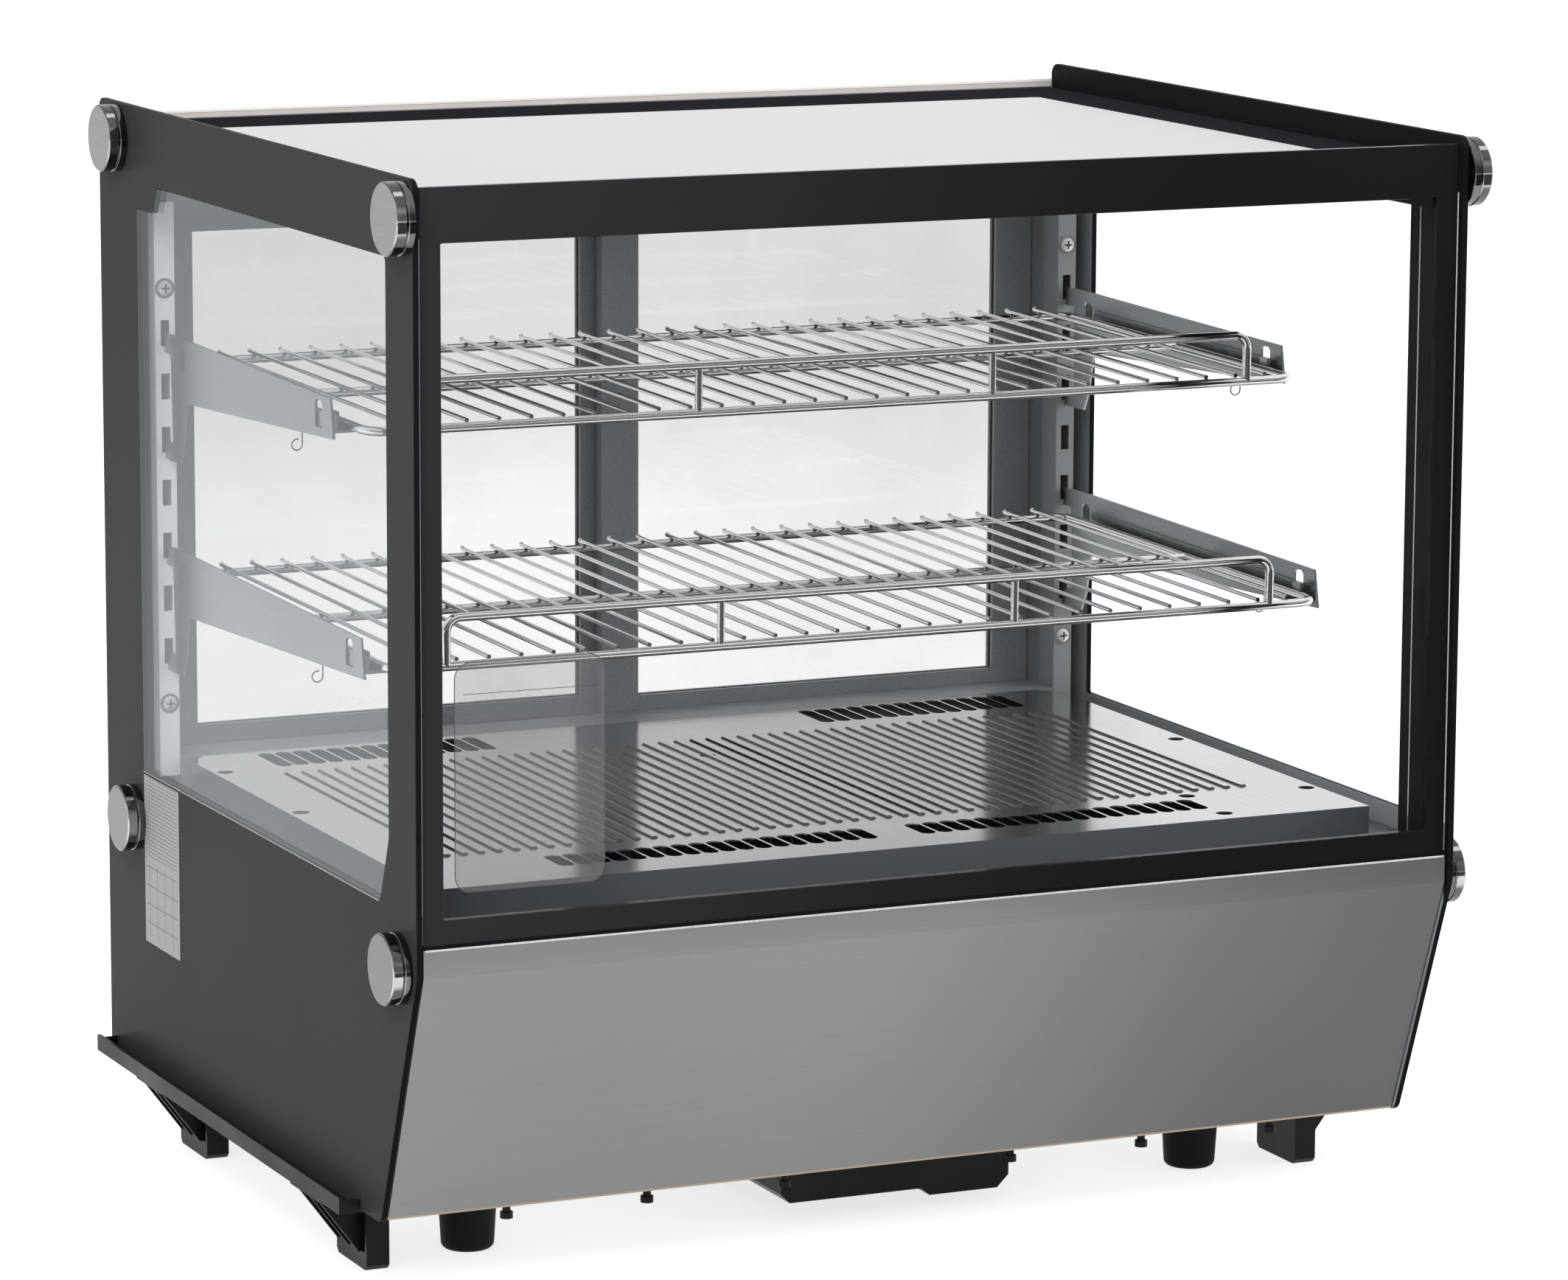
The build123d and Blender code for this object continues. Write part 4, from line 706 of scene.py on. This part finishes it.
# %% Knob tree
KNOB_PLACES = ((-0.270, 0.6625), (0.247, 0.6625), (-0.257, 0.216), (0.227, 0.216))
KNOB_RADIUS = 0.02175
KNOB_SIDES = 64
CAP_BEVEL = 0.0009
FACE_LEVEL = 0.01272
KNOB_STACK = ((0.0000, 0.0006, KNOB_RADIUS - 0.0008, KNOB_RADIUS, knob_base_finish),
              (0.0006, 0.0044, KNOB_RADIUS, KNOB_RADIUS, knob_base_finish),
              (0.0044, 0.0050, KNOB_RADIUS, KNOB_RADIUS - 0.0006, knob_side_finish),
              (0.0050, 0.0058, KNOB_RADIUS - 0.002, KNOB_RADIUS - 0.002, black_finish),
              (0.0058, 0.0063, KNOB_RADIUS - 0.0005, KNOB_RADIUS, knob_side_finish),
              (0.0063, 0.0118, KNOB_RADIUS, KNOB_RADIUS, knob_side_finish),
              (0.0118, 0.0127, KNOB_RADIUS, KNOB_RADIUS - CAP_BEVEL, knob_side_finish))

tree, given, result = new_group("GeometryNodeTree", "turned_knobs", {"Face": ("Float", 0.351)},
                                {"Geometry": "Geometry"})
discs = []
for start, end, radius_start, radius_end, material in KNOB_STACK:
    disc = place(tree, "GeometryNodeMeshCone", {"Vertices": KNOB_SIDES, "Radius Bottom": radius_start,
                                                "Radius Top": radius_end, "Depth": end - start})
    discs.append(coated(tree, moved(tree, disc.outputs[0], Translation=(0, 0, start)), material))
face = place(tree, "GeometryNodeMeshCircle",
             {"Vertices": KNOB_SIDES, "Radius": KNOB_RADIUS - CAP_BEVEL}, fill_type="NGON")
face = moved(tree, face.outputs[0], Translation=(0, 0, FACE_LEVEL))
discs.append(coated(tree, face, knob_face_finish))
one_knob = joined(tree, discs)

rows = []
for sign in (-1.0, 1.0):
    for y, z in KNOB_PLACES:
        spot = point(tree, product(tree, given.outputs["Face"], sign), y, z)
        rows.append(moved(tree, one_knob, Translation=spot, Rotation=(0, sign * math.pi / 2, 0)))
finished(tree, result, joined(tree, rows))

knobs = grow("glass_knobs", tree, Face=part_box("side_glass_right")[1].x)
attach(knobs, "case")
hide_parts("knob_caps", "knob_bases")
print("knobs", len(knobs.data.polygons), "faces")

# %% [markdown]
# ## Wire shelves
# A shelf is a welded tray: a thick wire bent round its edge, one thick cross wire, and thin wires laid on top
# with their rear ends turned up. A rail stands on its front. All of it is wire along a path, so one tree with
# named sizes draws the paths, and Curve to Mesh gives them their thickness.

# %% Wire helpers
THICK_WIRE, THIN_WIRE, POST_WIRE = 0.0029, 0.00145, 0.0024
THICK_SIDES, THIN_SIDES = 12, 8


def thick(tree, path, radius, sides=THICK_SIDES):
    """Wire of one radius along a path, with closed ends."""
    ring = place(tree, "GeometryNodeCurvePrimitiveCircle", {"Resolution": sides, "Radius": radius})
    return place(tree, "GeometryNodeCurveToMesh", {0: path, 1: ring.outputs[0], "Fill Caps": True}).outputs[0]


def straight(tree, start, end):
    """Straight path between two places."""
    return place(tree, "GeometryNodeCurvePrimitiveLine", {"Start": start, "End": end}).outputs[0]


def bent_loop(tree, half_width, height, radius):
    """Rectangle of wire with bent corners."""
    width = product(tree, half_width, 2.0)
    loop = place(tree, "GeometryNodeCurvePrimitiveQuadrilateral", {"Width": width, "Height": height})
    return place(tree, "GeometryNodeFilletCurve", {0: loop.outputs[0], "Count": 6, "Radius": radius},
                 mode="POLY").outputs[0]


print("wire helpers ready")

# %% Rim, thin wires and rail
WIRE_OVERLAP = 0.0004
RIM_INSET = 0.001
TIP_BACK, TIP_REACH, TIP_RISE = 0.0006, 0.0003, 0.0012
WIRES_EACH_SIDE = 14
RAIL_CORNER = 0.009
HALF_CUT = 0.001


def rim(tree, size):
    """Thick wire round the edge, and one across the middle."""
    depth = math_node(tree, "SUBTRACT", size["Back"], size["Front"])
    middle = product(tree, math_node(tree, "ADD", size["Back"], size["Front"]), 0.5)
    edge = moved(tree, bent_loop(tree, size["Half Width"], depth, size["Corner"]),
                 Translation=point(tree, y=middle))
    left = product(tree, size["Half Width"], -1.0)
    cross = straight(tree, point(tree, left, middle), point(tree, size["Half Width"], middle))
    return [thick(tree, edge, THICK_WIRE), thick(tree, cross, THICK_WIRE)]


def thin_wires(tree, size):
    """Comb of thin wires on top of the rim, with tips turned up behind."""
    above = THICK_WIRE + THIN_WIRE - WIRE_OVERLAP
    front = math_node(tree, "ADD", size["Front"], RIM_INSET)
    run = straight(tree, point(tree, y=front, z=above), point(tree, y=size["Wire End"], z=above))
    tip_start = math_node(tree, "SUBTRACT", size["Wire End"], TIP_BACK)
    tip_end = math_node(tree, "ADD", size["Wire End"], TIP_REACH)
    tip = straight(tree, point(tree, y=tip_start, z=above), point(tree, y=tip_end, z=above + TIP_RISE))
    wire = joined(tree, [thick(tree, path, THIN_WIRE, THIN_SIDES) for path in (run, tip)])
    first = product(tree, size["Pitch"], -float(WIRES_EACH_SIDE))
    comb = place(tree, "GeometryNodeMeshLine",
                 {"Count": size["Wires"], "Start Location": point(tree, first),
                  "Offset": point(tree, size["Pitch"])})
    return [place(tree, "GeometryNodeInstanceOnPoints", {0: comb.outputs[0], "Instance": wire}).outputs[0]]


def rail(tree, size):
    """Upper half of a bent loop, stood on the front of the shelf, with two posts under it."""
    loop = bent_loop(tree, size["Rail Half"], product(tree, size["Rail Height"], 2.0), RAIL_CORNER)
    cut = place(tree, "GeometryNodeSubdivideCurve", {0: loop, "Cuts": 1})
    here = place(tree, "ShaderNodeSeparateXYZ", {0: place(tree, "GeometryNodeInputPosition").outputs[0]})
    far = place(tree, "FunctionNodeCompare", {0: here.outputs["Y"], 1: HALF_CUT}, operation="GREATER_THAN")
    half = place(tree, "GeometryNodeDeleteGeometry", {0: cut.outputs[0], "Selection": far.outputs[0]})
    opened = place(tree, "GeometryNodeSetSplineCyclic", {0: half.outputs[0], "Cyclic": False})
    stood = moved(tree, opened.outputs[0], Rotation=(-math.pi / 2, 0, 0),
                  Translation=point(tree, y=size["Front"]))
    wires = [thick(tree, stood, THICK_WIRE)]
    for sign in (-1.0, 1.0):
        x = product(tree, size["Post"], sign)
        foot, top = point(tree, x, size["Front"]), point(tree, x, size["Front"], size["Rail Height"])
        wires.append(thick(tree, straight(tree, foot, top), POST_WIRE))
    return wires


print("wires on each shelf", 2 * WIRES_EACH_SIDE + 1)

# %% Shelf tree
shelf_sizes = {"Half Width": 0.318, "Front": -0.125, "Back": 0.198, "Wire End": 0.2065, "Pitch": 0.0212,
               "Corner": 0.014, "Rail Height": 0.030, "Rail Half": 0.283, "Post": 0.101}
shelf_inputs = {label: ("Float", value) for label, value in shelf_sizes.items()}
shelf_inputs["Wires"] = ("Int", 2 * WIRES_EACH_SIDE + 1)
shelf_tree, given, result = new_group("GeometryNodeTree", "wire_shelf", shelf_inputs,
                                      {"Geometry": "Geometry"})
size = given.outputs
all_wire = joined(shelf_tree, rim(shelf_tree, size) + thin_wires(shelf_tree, size) + rail(shelf_tree, size))
plain = place(shelf_tree, "GeometryNodeRealizeInstances", {0: all_wire})
shelf_tree.links.new(coated(shelf_tree, plain.outputs[0], wire_finish), result.inputs[0])
print("tree", shelf_tree.name, len(shelf_tree.nodes), "nodes")

# %% Two shelves
SHELF_TILT = math.radians(0.6)
CAD_WIRE = 0.00277
for name in ("upper", "lower"):
    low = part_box(name + "_shelf")[0]
    front = low.y + CAD_WIRE
    shelf = grow(f"{name}_wire_shelf", shelf_tree, Front=front)
    level = low.z + CAD_WIRE
    hinge = Matrix.Translation((0, front, 0))
    lift = Matrix.Translation((0, 0, level))
    shelf.data.transform(lift @ hinge @ Matrix.Rotation(SHELF_TILT, 4, "X") @ hinge.inverted())
    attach(shelf, name + "_shelf")
    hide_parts(name + "_shelf", name + "_shelf_rail")
    print(shelf.name, len(shelf.data.polygons), "faces")

# %% [markdown]
# ## Screws and hooks
# Small things make a machine believable. Each slotted upright is held by two round-head screws with a cross
# recess, which a Boolean in the node tree cuts into one dome before it is set at four places.

# %% Screw tree
SCREW_RADIUS, SCREW_HEIGHT = 0.005, 0.0026
RECESS_LONG, RECESS_DEEP, RECESS_NARROW = 0.0058, 0.0022, 0.0011
REAR_BLOCK = (0.02, 0.01, 0.02)
DARK_RING_RADIUS, DARK_RING_DEPTH = 0.0066, 0.0004
SCREW_LEVELS = (0.2915, 0.566)
tree, given, result = new_group("GeometryNodeTree", "cross_screws",
                                {"Across": ("Float", 0.3288), "Face": ("Float", 0.2205)},
                                {"Geometry": "Geometry"})
ball = place(tree, "GeometryNodeMeshUVSphere", {"Segments": 32, "Rings": 16, "Radius": SCREW_RADIUS})
dome = moved(tree, ball.outputs[0], Scale=(1, SCREW_HEIGHT / SCREW_RADIUS, 1))
cut = place(tree, "GeometryNodeMeshBoolean", {"Mesh 1": coated(tree, dome, screw_finish)},
            operation="DIFFERENCE")
for block_size, y in (((RECESS_LONG, RECESS_DEEP, RECESS_NARROW), -SCREW_HEIGHT),
                      ((RECESS_NARROW, RECESS_DEEP, RECESS_LONG), -SCREW_HEIGHT),
                      (REAR_BLOCK, REAR_BLOCK[1] / 2)):
    block = place(tree, "GeometryNodeMeshCube", {"Size": block_size})
    cutter = moved(tree, block.outputs[0], Translation=(0, y, 0))
    tree.links.new(coated(tree, cutter, matte_finish), cut.inputs["Mesh 2"])
# A thin dark ring under each head.
dark_ring = place(tree, "GeometryNodeMeshCylinder",
               {"Vertices": 32, "Radius": DARK_RING_RADIUS, "Depth": DARK_RING_DEPTH})
dark_ring = moved(tree, dark_ring.outputs[0], Rotation=(math.pi / 2, 0, 0),
               Translation=(0, -DARK_RING_DEPTH / 2, 0))
one_screw = joined(tree, [cut.outputs[0], coated(tree, dark_ring, frame_finish)])
copies = []
for sign in (-1.0, 1.0):
    for z in SCREW_LEVELS:
        x = product(tree, given.outputs["Across"], sign)
        spot = point(tree, x, given.outputs["Face"], z)
        copies.append(moved(tree, one_screw, Translation=spot))
finished(tree, result, joined(tree, copies))
screws = grow("standard_screw_heads", tree, Face=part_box("shelf_standards")[0].y)
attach(screws, "case")
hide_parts("standard_screws")
print("screws", len(screws.data.polygons), "faces")

# %% [markdown]
# Thin wire hooks hang under the brackets, ready for a price strip. Each is a short stem that ends in a curl,
# drawn as a curve with a round bevel and then made a plain mesh.

# %% Wire hooks
HOOKS = (("upper_brackets", -0.3288, -0.0270, 0.4965), ("upper_brackets", 0.3245, -0.0340, 0.4972),
         ("lower_brackets", -0.3288, -0.0600, 0.3565), ("lower_brackets", 0.3256, -0.0700, 0.3581))
HOOK_WIRE = 0.0005
STEM_HEIGHT = 0.008
CURL_RADIUS = 0.0035
CURL_STEPS, CURL_STEP = 13, math.radians(24)


def wire_hook(name, x, y, z):
    """Stem down from the bracket, then a curl that stays open."""
    curve = bpy.data.curves.new(name, "CURVE")
    curve.dimensions = "3D"
    curve.bevel_depth = HOOK_WIRE
    curve.bevel_resolution = 2
    curve.use_fill_caps = True
    path = [(x + CURL_RADIUS, y, z + STEM_HEIGHT)]
    for step in range(CURL_STEPS):
        angle = -step * CURL_STEP
        path.append((x + CURL_RADIUS * math.cos(angle), y, z + CURL_RADIUS * math.sin(angle)))
    path_through(curve, path)
    return keep(name, mesh_of(stand(name + "_curve", curve)), hook_finish)


for index, (body, x, y, z) in enumerate(HOOKS):
    hook = wire_hook(f"wire_hook_{index}", x, y, z)
    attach(hook, body)
print(len(HOOKS), "hooks")

# %% [markdown]
# ## Plate and film
# A pale ruled plate sits on the left side, and a clear film with a fine outline sits inside the front glass.
# Both are blank.

# %% Ruled plate
LABEL_Y, LABEL_Z = (0.1405, 0.2085), (0.1365, 0.2480)
LABEL_THICKNESS, LABEL_BEVEL, LABEL_CORNER = 0.0003, 0.00008, 0.001
INK_START, INK_END = (0.1440, 0.1441), (0.2052, 0.2051)
UPPER_RULES = (0.1930, 0.1931)
LOWER_RULES_START, LOWER_RULES_END = (0.1410, 0.1411), (0.1910, 0.1909)
paper, tree = finish("ruled_paper", Roughness=0.55, Specular_IOR_Level=0.1,
                     Base_Color=(0.36, 0.36, 0.368, 1))[:2]
across, up = part_of(tree, "Object", "Y"), part_of(tree, "Object", "Z")


def stripes(tree, value, pitch, share):
    """Mask of thin lines at an even pitch."""
    cells = math_node(tree, "FRACT", math_node(tree, "DIVIDE", value, pitch))
    return math_node(tree, "LESS_THAN", cells, share)


inside = between(tree, across, INK_START, INK_END)
upper = product(tree, inside, rising(tree, up, UPPER_RULES))
lower = product(tree, inside, between(tree, up, LOWER_RULES_START, LOWER_RULES_END))
for area, value, pitch, share in ((upper, up, 0.0026, 0.16), (lower, up, 0.0125, 0.04),
                                  (lower, across, 0.0153, 0.035)):
    recolour(paper, product(tree, area, stripes(tree, value, pitch, share)), grey(0.12))
outside_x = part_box("side_glass_left")[0].x
label = plate("blank_label", [box_outline(*LABEL_Y, *LABEL_Z, LABEL_CORNER)], LABEL_THICKNESS, LABEL_BEVEL,
              paper, at_side(outside_x - LABEL_THICKNESS / 2))
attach(label, "case")
print("label", round((LABEL_Z[1] - LABEL_Z[0]) * 1000), "mm tall")

# %% Clear film
FILM = (-0.323, -0.227, 0.262, 0.400)
FILM_CORNER = 0.010
FILM_THICKNESS, FILM_BEVEL, FILM_GAP = 0.0002, 0.00004, 0.00012
LINE, LINE_THICKNESS, LINE_BEVEL, LINE_GAP = 0.0006, 0.0001, 0.00002, 0.0003
RULE_INSET = 0.006
RULES = ((0.3806, 0.3810), (0.3632, 0.3636))
film_finish = clear_glass("clear_film", (0.22, 0.225, 0.235, 1), 0.24, 5.0, 0.4, metallic=0.0)
line_finish = moulded("film_line", grey(0.05), grey(0.03), 0.4, 0.5)
inner_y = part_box("front_glass")[1].y
left, right, bottom, top = FILM
film_edge = box_outline(*FILM, FILM_CORNER)
film = plate("clear_film", [film_edge], FILM_THICKNESS, FILM_BEVEL, film_finish,
             at_front(inner_y + FILM_GAP), 0)
rings = [film_edge,
         box_outline(left + LINE, right - LINE, bottom + LINE, top - LINE, FILM_CORNER - LINE)]
for rule in RULES:
    rings.append(box_outline(left + RULE_INSET, right - RULE_INSET, *rule))
outline = plate("film_outline", rings, LINE_THICKNESS, LINE_BEVEL, line_finish,
                at_front(inner_y + LINE_GAP), 0)
for piece in (film, outline):
    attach(piece, "case")
print("film and outline")

# %% [markdown]
# ## A pale strip, and painted highlights on the seams
# A pale strip covers the raised lip behind the top glass. Thin strips of painted highlight run along the
# steel front's lip, down the corner posts, up the seams beside the front glass and along the foot of each
# side window.

# %% Pale strip
STRIP_LOW, STRIP_TOP, STRIP_Y = 0.6700, 0.6757, 0.2827
STRIP_THICKNESS, STRIP_BEVEL, STRIP_CORNER = 0.0022, 0.0002, 0.0004
PALE_ABOVE = (0.6722, 0.6752)
LINE_RISE, LINE_FALL = (0.6731, 0.6732), (0.6736, 0.6735)
SIDE_GAP = 0.001

strip_finish = moulded("pale_trim", (0.62, 0.575, 0.55, 1), (0.58, 0.535, 0.51, 1), 0.35, 0.45, 60, 0.0)
fade(strip_finish, "Object", "Z", PALE_ABOVE, grey(0.90))
tree = strip_finish.node_tree
fine_line = between(tree, part_of(tree, "Object", "Z"), LINE_RISE, LINE_FALL)
recolour(strip_finish, fine_line, (0.42, 0.27, 0.22, 1))
low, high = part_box("rear_header")
strip_outline = box_outline(low.x + SIDE_GAP, high.x - SIDE_GAP, STRIP_LOW, STRIP_TOP, STRIP_CORNER)
strip = plate("rear_trim", [strip_outline], STRIP_THICKNESS, STRIP_BEVEL, strip_finish, at_front(STRIP_Y))
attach(strip, "case")
print("strip", round((STRIP_TOP - STRIP_LOW) * 1000, 1), "mm high")

# %% Painted highlight lines
HIGHLIGHT_THICKNESS, HIGHLIGHT_BEVEL = 0.0003, 0.0001
PROUD = 0.0001
LIP_BAND = (0.0013, 0.0001)
POST_X, POST_HIGHLIGHT = 0.33592, (-0.2518, -0.2508, 0.2400, 0.6395)
SEAM_X, SEAM_Z = (0.3455, 0.3463), (0.2340, 0.6510)
FOOT_X, FOOT_INSET, FOOT_Z = 0.3511, 0.016, (0.2494, 0.2501)

low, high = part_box("steel_front")
# Painted highlight along the steel front's lip.
lip_outline = box_outline(low.x + SIDE_GAP, high.x - SIDE_GAP, high.z - LIP_BAND[0], high.z - LIP_BAND[1])
lip = plate("steel_lip_highlight", [lip_outline], HIGHLIGHT_THICKNESS, HIGHLIGHT_BEVEL, seal_highlight_finish,
            at_front(low.y - PROUD), 0)
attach(lip, "case")

# Painted highlights down the posts, up the seams and along the foot of each window.
for side, sign in (("left", -1), ("right", 1)):
    seam_edges = sorted(sign * x for x in SEAM_X)
    highlight_lines = {"post": (at_side(sign * POST_X), POST_HIGHLIGHT),
             "seam": (at_front(front_y - PROUD), (*seam_edges, *SEAM_Z)),
             "foot": (at_side(sign * FOOT_X), (WINDOW_FRONT + FOOT_INSET, WINDOW_REAR[side], *FOOT_Z))}
    for part, (turn, edges) in highlight_lines.items():
        highlight_line = plate(f"{part}_bead_{side}", [box_outline(*edges)], HIGHLIGHT_THICKNESS, HIGHLIGHT_BEVEL,
                     seal_highlight_finish, turn, 0)
        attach(highlight_line, "case")
print("beads made")

# %% [markdown]
# ## Floor, backdrop and light
# The case stands on a white floor in front of a white backdrop. Part of the floor's white is its own light,
# so it is white in the picture and still takes the soft shadow. Towards the viewer the room is darker, which
# gives polished wire and printed glass something dark to reflect.

# %% Floor
FLOOR_HALF = 14.0
FLOOR_Z = -0.0002
FLOOR_GLOW = 0.75


def flat_sheet(name, half_width, near, far, z):
    """Level rectangle."""
    mesh = bpy.data.meshes.new(name)
    corners = [(-half_width, near, z), (half_width, near, z), (half_width, far, z), (-half_width, far, z)]
    mesh.from_pydata(corners, [], [(0, 1, 2, 3)])
    return stand(name, mesh)


def mixed(tree, share, first, second):
    """Two shaders mixed."""
    return place(tree, "ShaderNodeMixShader", {0: share, 1: first, 2: second}).outputs[0]


floor = flat_sheet("floor", FLOOR_HALF, -FLOOR_HALF, FLOOR_HALF, FLOOR_Z)

floor_material = bpy.data.materials.new("white_floor")
floor_material.use_nodes = True
tree = floor_material.node_tree
tree.nodes.clear()
rays = place(tree, "ShaderNodeLightPath").outputs
seen = math_node(tree, "MAXIMUM", rays["Is Camera Ray"], rays["Is Glossy Ray"])
seen = math_node(tree, "MAXIMUM", seen, rays["Is Transmission Ray"])
paint = place(tree, "ShaderNodeBsdfDiffuse", {"Color": grey(0.45)}).outputs[0]
glow = place(tree, "ShaderNodeEmission", {"Color": grey(1.0), "Strength": FLOOR_GLOW}).outputs[0]
lit = place(tree, "ShaderNodeAddShader", {0: paint, 1: glow}).outputs[0]
place(tree, "ShaderNodeOutputMaterial", {"Surface": mixed(tree, seen, paint, lit)})
floor.data.materials.append(floor_material)
print("floor", FLOOR_HALF * 2, "m wide")

# %% [markdown]
# A photographer keeps black card on the studio floor in front of polished things, out of the picture.
# Only mirror-like rays see this one, so it darkens reflections and casts no shadow.

# %% Dark card
CARD_HALF, CARD_NEAR, CARD_FAR, CARD_Z = 5, -7, -1.0, 0.0004

card = flat_sheet("dark_card", CARD_HALF, CARD_NEAR, CARD_FAR, CARD_Z)
for ray_kind in ("camera", "diffuse", "transmission", "shadow", "volume_scatter"):
    setattr(card, "visible_" + ray_kind, False)
card.data.materials.append(finish("card_black", Roughness=1.0, Base_Color=grey(0.03))[0])
print("dark card in front")

# %% World
AMBIENT_LIGHT, BACKDROP_LIGHT = 1.05, 1.3
BEHIND, OVERHEAD = (-0.35, 0.25), (0.25, 0.75)
DARK_ROOM = grey(0.20)

world = bpy.data.worlds.new("studio")
bpy.context.scene.world = world
world.use_nodes = True
tree = world.node_tree
tree.nodes.clear()
rays = place(tree, "ShaderNodeLightPath").outputs
way = place(tree, "ShaderNodeTexCoord")
parts = place(tree, "ShaderNodeSeparateXYZ", {0: way.outputs["Generated"]}).outputs
white_share = math_node(tree, "MAXIMUM", ramp(tree, parts["Y"], BEHIND), ramp(tree, parts["Z"], OVERHEAD))
mirror_tone = layered(tree, white_share, DARK_ROOM, grey(1.0))
ambient, mirrored, white = (
    place(tree, "ShaderNodeBackground", {"Color": colour, "Strength": strength}).outputs[0]
    for colour, strength in (((0.96, 0.98, 1.0, 1), AMBIENT_LIGHT), (mirror_tone, 1.0),
                             (grey(1.0), BACKDROP_LIGHT)))
around = mixed(tree, rays["Is Glossy Ray"], ambient, mirrored)
straight_on = math_node(tree, "MAXIMUM", rays["Is Camera Ray"], rays["Is Transmission Ray"])
place(tree, "ShaderNodeOutputWorld", {"Surface": mixed(tree, straight_on, around, white)})
print("world", world.name)

# %% Lamps
LAMPS = {"key": ((-2.2, -2.4, 2.6), (0, 0, 0.35), 1.8, 60),
         "fill": ((2.6, -1.8, 1.6), (0, 0, 0.35), 1.8, 30),
         "overhead": ((0, 0.2, 2.6), (0, 0, 0.3), 2.2, 40),
         "rear": ((0.5, 2.8, 1.8), (0, 0, 0.35), 1.8, 35)}


def lamp(name, place_at, aim_at, size, power):
    """Square soft light that looks at a place."""
    thing = stand(name, bpy.data.lights.new(name, "AREA"))
    thing.data.size = size
    thing.data.energy = power
    thing.location = place_at
    thing.rotation_euler = (Vector(aim_at) - Vector(place_at)).to_track_quat("-Z", "Y").to_euler()
    thing.visible_glossy = False


for name, settings in LAMPS.items():
    lamp(name, *settings)
print("lamps", len(bpy.data.lights))
